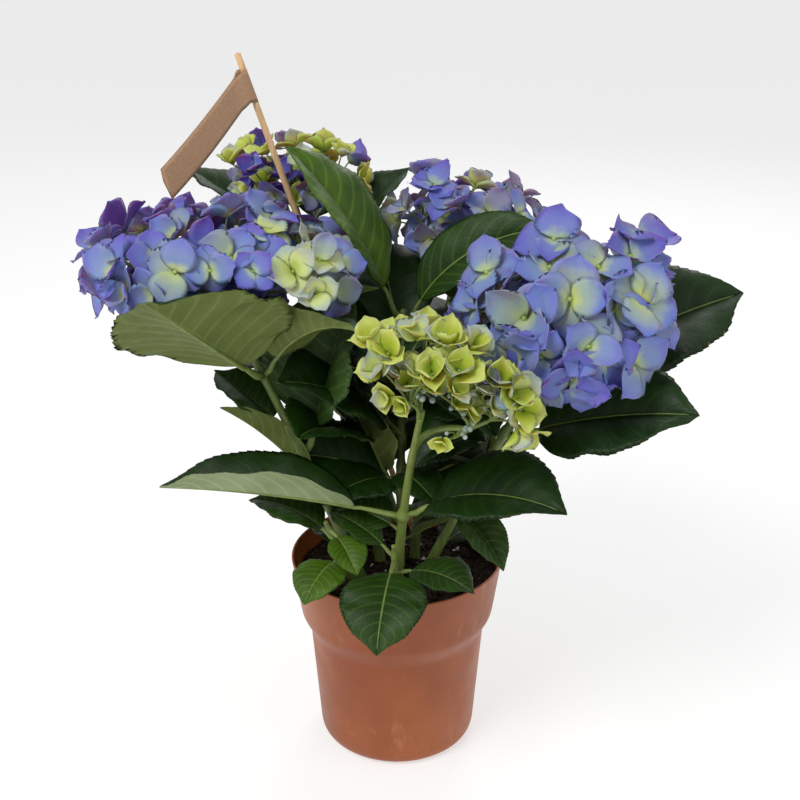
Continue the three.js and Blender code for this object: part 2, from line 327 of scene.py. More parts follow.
def section(faces, origin, normal):
    """Where a plane cuts a solid: the cut's points, the centre of its area, and its area."""
    height = (faces - origin) @ normal
    cut = (height.min(axis=1) < 0) & (height.max(axis=1) > 0)
    if cut.sum() < 3:
        return None
    faces = faces[cut]
    height = height[cut]
    outward = np.cross(faces[:, 1] - faces[:, 0], faces[:, 2] - faces[:, 0])
    ends = []
    for triangle, level, out in zip(faces, height, outward):
        crossing = []
        for a, b in ((0, 1), (1, 2), (2, 0)):
            if (level[a] < 0) != (level[b] < 0):
                share = level[a] / (level[a] - level[b])
                crossing.append(mix(triangle[a], triangle[b], share))
        p, q = crossing
        if np.cross(q - p, normal).dot(out) < 0:
            p, q = q, p
        ends.append((p, q))
    ends = np.array(ends)
    start = ends[:, 0] - origin
    stop = ends[:, 1] - origin
    wedge = np.cross(start, stop) @ normal
    area = wedge.sum() / 2
    if abs(area) < 1e-10:
        return None
    centre = ((start + stop) * wedge[:, None]).sum(axis=0) / (6 * area) + origin
    return ends.reshape(-1, 3), centre, abs(area)


def level_cut(faces, height):
    return section(faces, np.array((0, 0, height)), np.array((0, 0, 1.0)))


def fitted(at, values, degree):
    """A smooth polynomial curve through rows of values, as a function of the place along it."""
    curves = [np.polyfit(at, column, degree) for column in values.T]
    return lambda place: np.stack([np.polyval(curve, place) for curve in curves], axis=-1)


class Limb:
    """A stem's centre line and radius, from level cuts through its node."""

    def __init__(self, node):
        faces = triangles(node)
        low = faces[:, :, 2].min()
        high = faces[:, :, 2].max()
        levels = np.linspace(low + 1 * MM, high - 3 * MM, CUTS["stem"])
        cuts = [level_cut(faces, z) for z in levels]
        centres = np.array([cut[1] for cut in cuts])
        self.node = node
        self.low = low
        self.high = high
        self.path = fitted(levels, centres, 3)
        slope = unit(np.gradient(centres, axis=0))
        widths = np.sqrt([cut[2] for cut in cuts] * slope[:, 2] / math.pi)
        self.size = np.polyfit(levels, widths, 1)

    def point(self, level):
        return self.path(level)

    def radius(self, level):
        return np.polyval(self.size, level)

    def nearest(self, point):
        """The level at which the centre line comes closest to a point, and how far away it is there."""
        levels = np.linspace(self.low, self.high, 120)
        gaps = np.linalg.norm(self.path(levels) - point, axis=1)
        best = int(gaps.argmin())
        return levels[best], gaps[best]


# ------------------------------------------------------------------ materials

class Graph:
    """Short ways to add the nodes that the materials below are made of."""

    def __init__(self, name, roughness=0.5, bump=0.0, **fixed):
        self.surface = bpy.data.materials.new(name)
        self.surface.use_nodes = True
        self.nodes = self.surface.node_tree.nodes
        self.links = self.surface.node_tree.links
        self.shader = self.nodes["Principled BSDF"]
        self.shader.inputs["Roughness"].default_value = roughness
        for socket, value in fixed.items():
            self.shader.inputs[socket.replace("_", " ")].default_value = value
        self.bump_strength = bump

    def put(self, socket, value):
        if hasattr(value, "is_output"):
            self.links.new(value, socket)
        else:
            socket.default_value = value

    def math(self, operation, a, b=0.0, c=0.0):
        node = self.nodes.new("ShaderNodeMath")
        node.operation = operation
        for socket, value in zip(node.inputs, (a, b, c)):
            self.put(socket, value)
        return node.outputs[0]

    def span(self, value, low, high, to_low=0.0, to_high=1.0, smooth=False):
        node = self.nodes.new("ShaderNodeMapRange")
        node.interpolation_type = "SMOOTHSTEP" if smooth else "LINEAR"
        for name, setting in (("Value", value), ("From Min", low), ("From Max", high),
                              ("To Min", to_low), ("To Max", to_high)):
            self.put(node.inputs[name], setting)
        return node.outputs["Result"]

    def blend(self, share, a, b):
        node = self.nodes.new("ShaderNodeMix")
        node.data_type = "RGBA"
        self.put(node.inputs["Factor"], share)
        for socket, value in (("A", a), ("B", b)):
            colour = [s for s in node.inputs if s.name == socket and s.type == "RGBA"][0]
            self.put(colour, value)
        return [s for s in node.outputs if s.type == "RGBA"][0]

    def object_place(self):
        return self.nodes.new("ShaderNodeTexCoord").outputs["Object"]

    def stretched(self, scale):
        node = self.nodes.new("ShaderNodeMapping")
        node.inputs["Scale"].default_value = scale
        self.links.new(self.object_place(), node.inputs["Vector"])
        return node.outputs["Vector"]

    def noise(self, scale, detail=3.0, vector=None, roughness=0.5):
        node = self.nodes.new("ShaderNodeTexNoise")
        node.inputs["Scale"].default_value = scale
        node.inputs["Detail"].default_value = detail
        node.inputs["Roughness"].default_value = roughness
        self.links.new(vector or self.object_place(), node.inputs["Vector"])
        return node.outputs["Fac"]

    def cells(self, scale, feature="F1"):
        node = self.nodes.new("ShaderNodeTexVoronoi")
        node.feature = feature
        node.inputs["Scale"].default_value = scale
        self.links.new(self.object_place(), node.inputs["Vector"])
        return node.outputs["Distance"]

    def map_place(self):
        node = self.nodes.new("ShaderNodeUVMap")
        node.uv_map = UV_NAME
        split = self.nodes.new("ShaderNodeSeparateXYZ")
        self.links.new(node.outputs[0], split.inputs[0])
        return split.outputs["X"], split.outputs["Y"]

    def finish(self, colour, height=None, distance=0.0005, roughness=None):
        self.put(self.shader.inputs["Base Color"], colour)
        if roughness is not None:
            self.put(self.shader.inputs["Roughness"], roughness)
        if height is not None:
            node = self.nodes.new("ShaderNodeBump")
            node.inputs["Strength"].default_value = self.bump_strength
            node.inputs["Distance"].default_value = distance
            self.links.new(height, node.inputs["Height"])
            self.links.new(node.outputs["Normal"], self.shader.inputs["Normal"])
        return self.surface


def leaf_places(graph):
    """How far along the blade a spot is, and how far across it from the midrib, from the leaf's map."""
    x, along = graph.map_place()
    within_strip = graph.math("FRACT", graph.math("MULTIPLY", x, 2))
    across = graph.math("ABSOLUTE", graph.span(within_strip, 0.04, 0.92, -1, 1))
    return graph.span(along, 0.02, 0.98), across


def vein_phase(along, across):
    """Whole numbers of this phase fall on the side veins, which sweep forwards from the midrib."""
    return LEAF["side_veins"] * (along * 1.12 - 0.2 * across - 0.1 * across ** 3)


def leaf_surface(name, blade, vein, dark, gloss, vein_strength, under=False):
    graph = Graph(name, roughness=gloss, bump=0.5, Specular_IOR_Level=0.2 if under else 0.28)
    along, across = leaf_places(graph)
    cube = graph.math("POWER", across, 3)
    sweep = graph.math("ADD", graph.math("MULTIPLY", across, 0.2), graph.math("MULTIPLY", cube, 0.1))
    phase = graph.math("SUBTRACT", graph.math("MULTIPLY", along, 1.12), sweep)
    phase = graph.math("MULTIPLY", phase, LEAF["side_veins"])
    gap = graph.math("PINGPONG", phase, 0.5)
    side = graph.span(gap, graph.math("MULTIPLY_ADD", across, -0.04, 0.075), 0.02, 0, 1, smooth=True)
    side = graph.math("MULTIPLY", side, graph.span(across, 0.95, 0.7))
    middle = graph.span(across, graph.math("MULTIPLY_ADD", along, -0.035, 0.06), 0.018, 0, 1, smooth=True)
    net = graph.span(graph.cells(300, "DISTANCE_TO_EDGE"), 0.0, 0.09, 1, 0)
    fine = graph.span(graph.cells(900, "DISTANCE_TO_EDGE"), 0.0, 0.12, 1, 0)
    mottled = graph.noise(45, 4)
    colour = graph.blend(graph.span(mottled, 0.35, 0.65), blade, dark)
    halo = graph.span(gap, 0.22, 0.03, 0, 0.35, smooth=True)
    colour = graph.blend(graph.math("MULTIPLY", halo, vein_strength), colour, vein)
    colour = graph.blend(graph.math("MULTIPLY", net, 0.16 * vein_strength), colour, vein)
    lines = graph.math("MAXIMUM", graph.math("MULTIPLY", side, 0.75), middle)
    colour = graph.blend(graph.math("MULTIPLY", lines, vein_strength), colour, vein)
    sunk = graph.math("MULTIPLY_ADD", net, 0.5, graph.math("MULTIPLY", fine, 0.25))
    if not under:
        sunk = graph.math("MULTIPLY", sunk, -1)
    rough = graph.span(graph.noise(120, 2), 0.3, 0.7, gloss - 0.06, gloss + 0.08)
    return graph.finish(colour, sunk, 0.0003, rough)


def stalk_surface(name, green, blush, speck):
    graph = Graph(name, roughness=0.45, bump=0.4)
    streaks = graph.noise(220, 3, graph.stretched((1, 1, 0.12)))
    patches = graph.noise(26, 2)
    colour = graph.blend(graph.span(patches, 0.45, 0.7), green, blush)
    colour = graph.blend(graph.span(streaks, 0.35, 0.7, 0, 0.35), colour, linear(156, 170, 100))
    specks = graph.span(graph.cells(420), 0.16, 0.1)
    colour = graph.blend(graph.math("MULTIPLY", specks, 0.75), colour, speck)
    return graph.finish(colour, graph.math("ADD", streaks, specks), 0.0003)


def sepal_surface(name, heart, middle, rim, cell):
    """Colour runs from a sepal's foot to its rim. `cell` is the sepals' strip of the flower's map."""
    graph = Graph(name, roughness=0.55, bump=0.35, Specular_IOR_Level=0.3,
                  Subsurface_Weight=0.25, Subsurface_Scale=0.003)
    x, y = graph.map_place()
    low_u, low_v, high_u, high_v = cell
    along = graph.span(y, low_v, high_v)
    across = graph.span(x, low_u, high_u, -1, 1)
    side = graph.math("ABSOLUTE", across)
    patches = graph.noise(170, 3)
    wander = graph.math("MULTIPLY", graph.math("SUBTRACT", patches, 0.5), SEPAL["wander"])
    sooner = graph.math("MULTIPLY", graph.math("POWER", side, 2), SEPAL["rim_tint"])
    reach = graph.math("ADD", graph.math("ADD", along, wander), sooner)
    colour = graph.blend(graph.span(reach, 0.08, SEPAL["heart_end"], smooth=True), heart, middle)
    colour = graph.blend(graph.span(reach, *SEPAL["rim_start"], smooth=True), colour, rim)
    fan = graph.math("MULTIPLY", across, graph.math("MULTIPLY_ADD", along, -6, 26))
    stripe = graph.math("PINGPONG", fan, 1)
    vein = graph.math("MULTIPLY", graph.span(stripe, 0.25, 0.0), graph.span(along, 1.0, 0.3, 0.1, 0.45))
    colour = graph.blend(vein, colour, graph.blend(0.4, colour, linear(238, 240, 225)))
    border = graph.span(side, 0.86, 1.0, 0, 0.35)
    colour = graph.blend(border, colour, graph.blend(0.35, rim, linear(232, 232, 240)))
    relief = graph.math("ADD", graph.math("MULTIPLY", stripe, 0.5), patches)
    return graph.finish(colour, relief, 0.0004)


def plain_surface(name, colour, roughness=0.5, variation=0.15, scale=60, **fixed):
    graph = Graph(name, roughness=roughness, bump=0.3, **fixed)
    patches = graph.noise(scale, 4)
    darker = tuple(part * (1 - variation) for part in colour[:3]) + (1.0,)
    lighter = tuple(min(1.0, part * (1 + variation)) for part in colour[:3]) + (1.0,)
    return graph.finish(graph.blend(graph.span(patches, 0.3, 0.7), darker, lighter), patches, 0.0003)


# ------------------------------------------------------------------ leaves

def outline(along):
    """Half the width of a blade as a share of its greatest half width: broad, with a drawn-out tip."""
    along = np.clip(along, 0, 1)
    broad = np.sin(math.pi * along ** 0.84) ** 0.72
    drip = 1 - 0.42 * smooth_step((along - 0.8) / 0.2)
    return broad * drip


class Blade:
    """A leaf's midrib and the directions of its halves, from cuts across its node."""

    def __init__(self, node, limb):
        faces = triangles(node)
        points = faces.reshape(-1, 3)
        gaps = np.array([limb.nearest(point)[1] for point in points])
        self.node = node
        self.limb = limb
        self.base = points[gaps < gaps.min() + 2 * MM].mean(axis=0)
        self.tip = points[np.linalg.norm(points - self.base, axis=1).argmax()]
        chord = self.tip - self.base
        self.length = np.linalg.norm(chord)
        axis = chord / self.length
        left_side = unit(np.cross((0, 0, 1.0), axis))
        places, ribs, lefts, rights, widths = [], [], [], [], []
        for place in np.linspace(0.03, 0.985, CUTS["leaf"]):
            cut = section(faces, self.base + chord * place, axis)
            if cut is None:
                continue
            ends, centre, _ = cut
            spread = np.linalg.norm(ends[:, None] - ends[None], axis=2)
            a, b = np.unravel_index(spread.argmax(), spread.shape)
            left, right = (ends[a], ends[b]) if (ends[a] - ends[b]).dot(left_side) > 0 else (ends[b], ends[a])
            middle = (left + right) / 2
            wide = spread.max() > 6 * MM
            rib = middle + 1.5 * (centre - middle) if wide else centre
            places.append(place)
            ribs.append(rib)
            lefts.append(left - rib)
            rights.append(right - rib)
            widths.append(spread.max())
        places, ribs, lefts, rights, widths = map(np.array, (places, ribs, lefts, rights, widths))
        wide = widths > 0.3 * widths.max()
        self.start = places[widths > 5 * MM].min() - 0.01
        self.rib = fitted(places, ribs, 4)
        self.left = fitted(places[wide], unit(lefts[wide]), 2)
        self.right = fitted(places[wide], unit(rights[wide]), 2)
        self.half_width = max(np.linalg.norm(lefts, axis=1).max(), np.linalg.norm(rights, axis=1).max())

    def at(self, along):
        """Midrib points, headings, the halves' directions and their upward normals, along the blade."""
        place = mix(self.start, 1.0, along)
        ribs = self.rib(place)
        ahead = unit(self.rib(place + 0.004) - self.rib(place - 0.004))
        left = self.left(place)
        right = self.right(place)
        left = unit(left - ahead * (left * ahead).sum(axis=1, keepdims=True))
        right = unit(right - ahead * (right * ahead).sum(axis=1, keepdims=True))
        return ribs, ahead, left, right, unit(np.cross(ahead, left)), unit(np.cross(right, ahead))


def leaf_rows():
    """Places along the blade, and how far the edge stands out at each, tooth by tooth."""
    along, rise = [], []
    for tooth in range(LEAF["teeth"]):
        for step, height in zip(LEAF["tooth_steps"], LEAF["tooth_rise"]):
            along.append((tooth + step) / LEAF["teeth"])
            rise.append(height)
    return np.array(along + [1.0]), np.array(rise + [0.0])


def blade_points(blade, seed):
    """The upper and lower faces of a leaf as grids of points, and how far along and across each one is."""
    chance = random.Random(seed)
    along, teeth = leaf_rows()
    columns = np.array([-c for c in reversed(LEAF["columns"][1:])] + list(LEAF["columns"]))
    ribs, ahead, left, right, left_up, right_up = blade.at(along)
    half = np.maximum(blade.half_width * outline(along), 0.9 * MM * (1 - along) + 0.15 * MM)
    fade = smooth_step(along / 0.12) * smooth_step((1 - along) / 0.05)
    phases = [chance.uniform(0, 1) for _ in range(4)]
    waves = [chance.uniform(0.6, 1.3) for _ in range(2)]
    size = blade.half_width / (40 * MM)
    top = np.empty((len(along), len(columns), 3))
    bottom = np.empty_like(top)
    for j, across in enumerate(columns):
        far = abs(across)
        side, up = (left, left_up) if across < 0 else (right, right_up)
        which = 0 if across < 0 else 1
        reach = half * far + half * LEAF["tooth_depth"] * teeth * fade * far ** 10
        lean = half * LEAF["tooth_depth"] * 1.2 * teeth * fade * far ** 10
        phase = vein_phase(along, far)
        quilt = 0.5 - 0.5 * np.cos(2 * math.pi * phase)
        bulge = LEAF["quilting"] * size * quilt * fade * min(1, 3 * far) * (1 - far ** 4)
        camber = 0.09 * half * 4 * far * (1 - far) + 0.012 * half * far
        groove = -0.5 * MM * size * math.exp(-(far / 0.04) ** 2)
        wave = LEAF["edge_wave"] * size * far ** 2 * fade * (
            np.sin(2 * math.pi * (2.3 * waves[which] * along + phases[which]))
            + 0.5 * np.sin(2 * math.pi * (5.1 * along + phases[which + 2])))
        height = bulge + camber + groove + wave
        rib_up = unit(left_up + right_up)
        lift = up if far > 0 else rib_up
        spot = ribs + side * reach[:, None] + ahead * lean[:, None] + lift * height[:, None]
        depth = LEAF["thickness"] * (1 - far ** 6)
        top[:, j] = spot
        bottom[:, j] = spot - lift * depth
    return along, columns, top, bottom


def add_leaf(build, blade, seed):
    """A serrated blade with its raised midrib and its stalk, which clasps the stem."""
    along, columns, top, bottom = blade_points(blade, seed)
    across = np.broadcast_to((columns + 1) / 2, top.shape[:2])
    rows = np.broadcast_to(along[:, None], top.shape[:2])
    chart = np.stack([0.02 + 0.44 * across, 0.02 + 0.96 * rows], axis=2)
    build.shell(top[:, ::-1], bottom[:, ::-1], chart[:, ::-1], chart[:, ::-1] + (0.5, 0), (0, 1))
    ribs, ahead, left, right, left_up, right_up = blade.at(np.linspace(0, 0.94, 22))
    up = unit(left_up + right_up)
    petiole = LEAF["petiole"] * min(1.25, max(0.5, math.sqrt(blade.half_width / (38 * MM))))
    level, _ = blade.limb.nearest(blade.base)
    root = blade.limb.point(level)
    inside = mix(root, blade.base, 0.35)
    places = np.linspace(0.04, blade.start, 6)[:-1]
    stalk = blade.rib(places)
    rib_radii = np.linspace(0.8 * petiole, 0.22 * petiole, len(ribs))
    lowered = ribs - up * (0.7 * rib_radii[:, None])
    line = np.concatenate([[inside], stalk, lowered])
    radii = np.concatenate([[1.5 * petiole], np.linspace(1.25, 0.85, len(stalk)) * petiole, rib_radii])
    build.tube(line, radii, 8, 2)


def place_leaf(blade, name, surfaces, seed):
    build = Build()
    add_leaf(build, blade, seed)
    piece = build.make(name, surfaces)
    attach(piece, "root")
    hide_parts(blade.node)
    return build.tree()


class GrownBlade(Blade):
    """A leaf that has no node of its own, from where it leaves its stem and the angles that it grows at."""

    def __init__(self, limb, level, azimuth, rise, bend, length, width, roll=0, fold=12, sway=0):
        self.limb = limb
        self.start = GROWTH["stalk"]
        self.half_width = width / 2
        steps = np.linspace(0, 1, GROWTH["steps"])
        climb = np.radians(rise - bend * steps)
        turn = np.radians(azimuth + sway * steps)
        ahead = np.stack([np.cos(turn) * np.cos(climb), np.sin(turn) * np.cos(climb), np.sin(climb)], axis=1)
        stride = length / (GROWTH["steps"] - 1)
        line = limb.point(level) + np.concatenate([[[0, 0, 0]], np.cumsum(ahead[:-1] * stride, axis=0)])
        flat = unit(np.cross((0, 0, 1.0), ahead))
        up = np.cross(ahead, flat)
        side = math.cos(math.radians(roll)) * flat + math.sin(math.radians(roll)) * up
        normal = np.cross(ahead, side)
        lift = math.radians(fold)
        left = side * math.cos(lift) + normal * math.sin(lift)
        right = -side * math.cos(lift) + normal * math.sin(lift)
        self.base = line[0] + ahead[0] * limb.radius(level)

        def along(rows):
            return lambda place: np.stack([np.interp(place, steps, column) for column in rows.T], axis=-1)

        self.rib, self.left, self.right = along(line), along(left), along(right)

    def sketch(self):
        """The leaf as a few faces, to test whether it runs into anything."""
        rows, stalk_rows = 10, 4
        places = np.linspace(0, 1, rows)
        ribs, ahead, left, right, _, _ = self.at(places)
        half = (self.half_width * outline(places))[:, None]
        grid = np.stack([ribs + left * half, ribs + left * half / 2, ribs, ribs + right * half / 2,
                         ribs + right * half], axis=1)
        wide = grid.shape[1]
        faces = [(wide * k + j, wide * k + j + 1, wide * (k + 1) + j + 1, wide * (k + 1) + j)
                 for k in range(rows - 1) for j in range(wide - 1)]
        stalk = self.rib(np.linspace(0.08, self.start, stalk_rows))
        lift = np.array((0, 0, 1.5 * MM))
        points = np.concatenate([grid.reshape(-1, 3), stalk - lift, stalk + lift])
        first = rows * wide
        faces += [(first + k, first + k + 1, first + stalk_rows + k + 1, first + stalk_rows + k)
                  for k in range(stalk_rows - 1)]
        return points, faces


def grow_leaves(limbs, taken, seed):
    """Opposite pairs of leaves, each pair turned from the last, wherever the crown has room for them."""
    chance = random.Random(seed)

    def either_way(most):
        return chance.uniform(-most, most)

    grown = []
    for limb in limbs:
        azimuth = chance.uniform(0, 180)
        highest = limb.high - GROWTH["below_head"]
        for level in np.arange(limb.low + GROWTH["lowest"], highest, GROWTH["spacing"]):
            azimuth += 90
            for side in (0, 180):
                for _ in range(GROWTH["tries"]):
                    length = chance.uniform(*GROWTH["length"])
                    blade = GrownBlade(
                        limb, level, azimuth + side + either_way(GROWTH["aside"]),
                        chance.uniform(*GROWTH["rise"]),
                        chance.uniform(*GROWTH["bend"]), length, length * chance.uniform(*GROWTH["width"]),
                        roll=either_way(GROWTH["roll"]), fold=chance.uniform(*GROWTH["fold"]),
                        sway=either_way(GROWTH["sway"]))
                    points, faces = blade.sketch()
                    away = (points[:, :2] - GROWTH["middle"]) / GROWTH["room"]
                    if (away ** 2).sum(axis=1).max() > 1:
                        continue
                    tree = BVHTree.FromPolygons(points.tolist(), faces)
                    if any(tree.overlap(other) for other in taken):
                        continue
                    taken.append(tree)
                    grown.append(blade)
                    break
    return grown[:GROWTH["most"]]


# ------------------------------------------------------------------ stems

def build_stem(limb, blades, name, surface, foot_depth, slim):
    """A stem's skin, thickened where its leaves join it, with fine ridges. `slim` narrows its top."""
    levels = np.linspace(limb.low - foot_depth, limb.high, STEM["rings"])
    inside = np.clip(levels, limb.low, limb.high)
    slope = (limb.point(limb.low + 2 * MM) - limb.point(limb.low)) / (2 * MM)
    centres = limb.point(inside) + np.clip(levels - limb.low, None, 0)[:, None] * slope
    radii = limb.radius(inside) * np.linspace(1, slim, STEM["rings"])
    for joint in sorted({round(limb.nearest(blade.base)[0], 3) for blade in blades}):
        radii = radii * (1 + STEM["joint_swell"] * np.exp(-((levels - joint) / STEM["joint_reach"]) ** 2))
    radii = radii * (1 + STEM["foot_swell"] * np.exp(-(levels - limb.low) / STEM["foot_reach"]))

    def relief(centre, out):
        ridges = [noise.noise(Vector(o) * 2.2 + Vector(centre) * 14) for o in out]
        return 1 + STEM["ridges"] * np.array(ridges)

    build = Build()
    build.tube(centres, radii, STEM["sides"], 0, WHOLE_MAP, relief)
    piece = build.make(name, [surface])
    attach(piece, "root")
    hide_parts(limb.node)


# ------------------------------------------------------------------ flower heads

def sepal_points(length, width, lift, curl, cup, wave, phase, point):
    """A sepal lying along +X: its two faces as grids, and how far along and across each spot is."""
    rows, columns = SEPAL["rows"], SEPAL["columns"]
    along = np.linspace(0, 1, rows)
    across = np.linspace(-1, 1, columns)
    slope = lift + curl * along
    step = length / (rows - 1)
    middle_x = np.concatenate([[0], np.cumsum(np.cos(slope[:-1]) * step)])
    middle_z = np.concatenate([[0], np.cumsum(np.sin(slope[:-1]) * step)])
    narrowing = 1 - point * smooth_step((along - 0.72) / 0.28)
    half = width / 2 * np.sin(math.pi * along ** 0.8) ** 0.62 * narrowing
    half = np.maximum(half, width * np.where(along < 0.5, 0.07, 0.015))
    side = across[None, :]
    ripple = wave * np.abs(side) ** 1.6 * np.sin(2 * math.pi * (1.4 * along[:, None] + phase)) * np.sign(side)
    raise_edge = cup * side ** 2 * half[:, None] + ripple - 0.03 * width * (1 - np.abs(side)) ** 6
    tilt = slope[:, None]
    x = middle_x[:, None] - np.sin(tilt) * raise_edge + 0 * side
    z = middle_z[:, None] + np.cos(tilt) * raise_edge
    y = side * half[:, None] * (1 - 0.25 * np.abs(cup) * side ** 2)
    top = np.stack([x, y, z], axis=2)
    depth = SEPAL["thickness"] * (1 - np.abs(side) ** 4) + 0 * along[:, None]
    bottom = top - np.stack([-np.sin(tilt) * depth, 0 * depth, np.cos(tilt) * depth], axis=2)
    return along, across, top, bottom


def stand_on(facing, spin):
    """A turn that takes +Z to `facing`, after a spin about +Z."""
    return UP.rotation_difference(Vector(facing)) @ Quaternion(UP, spin)


def roll_about_x(angle):
    cosine, sine = math.cos(angle), math.sin(angle)
    return np.array(((1, 0, 0), (0, cosine, -sine), (0, sine, cosine)))


def turn_about_z(angle):
    cosine, sine = math.cos(angle), math.sin(angle)
    return np.array(((cosine, -sine, 0), (sine, cosine, 0), (0, 0, 1)))


def add_floret(build, centre, facing, size, openness, look, chance):
    """Two lower and two upper sepals round a small bud. `openness` runs from 0, a cup, to 1, laid back."""
    stand = stand_on(facing, chance.uniform(0, math.tau))
    turn = np.array(stand.to_matrix())
    centre = np.asarray(centre, float)
    lap = chance.choice((-1, 1)) * chance.uniform(*FLORET["lap"])
    for k in range(FLORET["sepals"]):
        slot = look.own if chance.random() < FLORET["own_colour"] else look.other
        length = size * chance.uniform(*FLORET["length"])
        upper = k % 2
        over = 1 if upper else -1
        lift = mix(*FLORET["lift"], openness) + over * chance.uniform(*FLORET["upper_lift"])
        curl = mix(*FLORET["curl"], openness) + over * chance.uniform(*FLORET["upper_curl"])
        along, across, top, bottom = sepal_points(
            length, length * chance.uniform(*FLORET["width"]), lift, curl,
            cup=chance.uniform(*FLORET["cup"]) + FLORET["closed_cup"] * (1 - openness),
            wave=length * chance.uniform(*FLORET["wave"]), phase=chance.uniform(0, 1),
            point=chance.uniform(*look.point))
        round_bud = math.tau * k / FLORET["sepals"] + chance.uniform(-0.16, 0.16)
        place = turn @ turn_about_z(round_bud) @ roll_about_x(lap + chance.uniform(-0.06, 0.06))
        step = (0, 0, upper * FLORET["upper_step"] * size)
        low_u, low_v, high_u, high_v = look.cells[slot]
        grid_u, grid_v = np.meshgrid((across + 1) / 2, along)
        chart = np.stack([mix(low_u, high_u, grid_u), mix(low_v, high_v, grid_v)], axis=2)
        upper_face = (top + step) @ place.T + centre
        lower_face = (bottom + step) @ place.T + centre
        build.shell(upper_face, lower_face, chart, chart, (slot, slot))
    bud = centre + turn @ np.array((0, 0, FLORET["bud_height"] * size))
    low_u, low_v, high_u, high_v = look.cells[look.bud]
    map_middle = ((low_u + high_u) / 2, (low_v + high_v) / 2)
    build.blob(bud, np.array(FLORET["bud"]) * size, stand, look.bud, map_middle)


def spread_points(node, axis, pitch, under, seed):
    """Evenly spaced places on a node's surface, leaving out what faces further than `under` from its axis."""
    faces = triangles(node)
    outward = np.cross(faces[:, 1] - faces[:, 0], faces[:, 2] - faces[:, 0])
    normals = unit(outward)
    kept = normals @ axis > under
    faces, normals, areas = faces[kept], normals[kept], np.linalg.norm(outward, axis=1)[kept] / 2
    chance = np.random.default_rng(seed)
    tried = 2500
    pick = chance.choice(len(faces), size=tried, p=areas / areas.sum())
    a, b = chance.random((2, tried))
    a, b = np.where(a + b > 1, 1 - a, a)[:, None], np.where(a + b > 1, 1 - b, b)[:, None]
    corner, second, third = faces[pick, 0], faces[pick, 1], faces[pick, 2]
    places = corner + a * (second - corner) + b * (third - corner)
    chosen = [0]
    nearest = np.linalg.norm(places - places[0], axis=1)
    while nearest.max() > pitch:
        best = int(nearest.argmax())
        chosen.append(best)
        nearest = np.minimum(nearest, np.linalg.norm(places - places[best], axis=1))
    return places[chosen], normals[pick][chosen]


CLASSES = dict(     # a sepal's colours at its foot, in its middle and at its rim
    violet=((166, 184, 158), (108, 124, 194), (96, 96, 190)),
    sky=((184, 196, 140), (122, 144, 190), (108, 122, 198)),
    mist=((180, 192, 128), (150, 168, 162), (124, 142, 182)),
    cream=((176, 188, 84), (202, 210, 136), (168, 182, 176)),
    pearl=((206, 210, 120), (162, 180, 168), (104, 124, 200)),
    lime=((140, 162, 22), (178, 192, 56), (204, 211, 118)),
    deep=((98, 108, 180), (80, 80, 172), (70, 64, 158)),
    dusk=((170, 176, 132), (136, 144, 170), (118, 118, 162)),
)

NEXT_CLASS = dict(
    violet="sky", sky="mist", mist="sky", cream="mist", pearl="sky", lime="cream", deep="violet", dusk="sky",
)

# lean: of the head's axis, degrees and azimuth. pitch: between florets. sepal: its length. point: how pointed
# it is. under: how far round below the head florets go, and deeper: how much less far its inner ones go.
# shares: of the colours. pale: a colour that is likelier on one side of the head, that side, and how much.
HEADS = dict(
    left=dict(
        lean=(4, -90), pitch=22.5 * MM, sepal=20 * MM, openness=(0.5, 1.0), point=(0.2, 0.8),
        under=-0.25, deeper=0.15, clusters=9,
        shares=dict(violet=0.42, sky=0.34, deep=0.08, mist=0.16), pale=("cream", (0.95, -0.55, 0.1), 2.2)),
    right=dict(
        lean=(28, -80), pitch=28 * MM, sepal=23.5 * MM, openness=(0.6, 1.0), point=(0.2, 0.8),
        under=-0.45, deeper=0.35, clusters=8,
        shares=dict(violet=0.44, sky=0.42, mist=0.1, cream=0.04), pale=("cream", (0.3, -0.6, 0.3), 0.3)),
    front=dict(
        lean=(25, -30), pitch=15 * MM, sepal=12 * MM, openness=(0.0, 0.4), point=(0.45, 0.95),
        under=0.5, deeper=0.05, clusters=8,
        shares=dict(lime=0.82, cream=0.18), pale=("cream", (0.9, 0.0, -0.3), 0.5),
        upright=0.5, beads=7, arm=(46 * MM, (26 * MM, -2 * MM, -8 * MM))),
    back_left=dict(
        lean=(0, 0), pitch=19 * MM, sepal=14 * MM, openness=(0.05, 0.6), point=(0.3, 0.85),
        under=-0.2, deeper=0.1, clusters=7,
        shares=dict(lime=0.8, dusk=0.14, deep=0.06), pale=("lime", (0.2, -0.6, 0.5), 0.9)),
    back_right=dict(
        lean=(0, 0), pitch=22 * MM, sepal=19 * MM, openness=(0.4, 0.95), point=(0.2, 0.8),
        under=-0.25, deeper=0.15, clusters=7,
        shares=dict(dusk=0.5, violet=0.3, cream=0.2), pale=("cream", (0.5, -0.6, 0.0), 0.3)),
)

BRANCHES = dict(    # radii at the foot and the end in mm, and how many sides
    arm=(2.6, 1.7, 10),
    cluster=(1.5, 1.0, 7),
    floret=(0.85, 0.5, 5),
    bead=(0.5, 0.35, 5),
)

SPREAD = dict(
    inner_pitch=1.05,   # of the outer layer's
    inner_reach=0.64,   # of the way from the stem's end to the head's surface
    inner_size=0.9,
    inner_deep=0.4,     # share of inner florets that take the deep colour, a darker violet dealt to them as painted shade inside the head
    clear=0.5,          # of the pitch: no other floret stands this close to one that is listed
    size=(0.82, 1.1),
    below_skin=(3, 8),  # mm
)

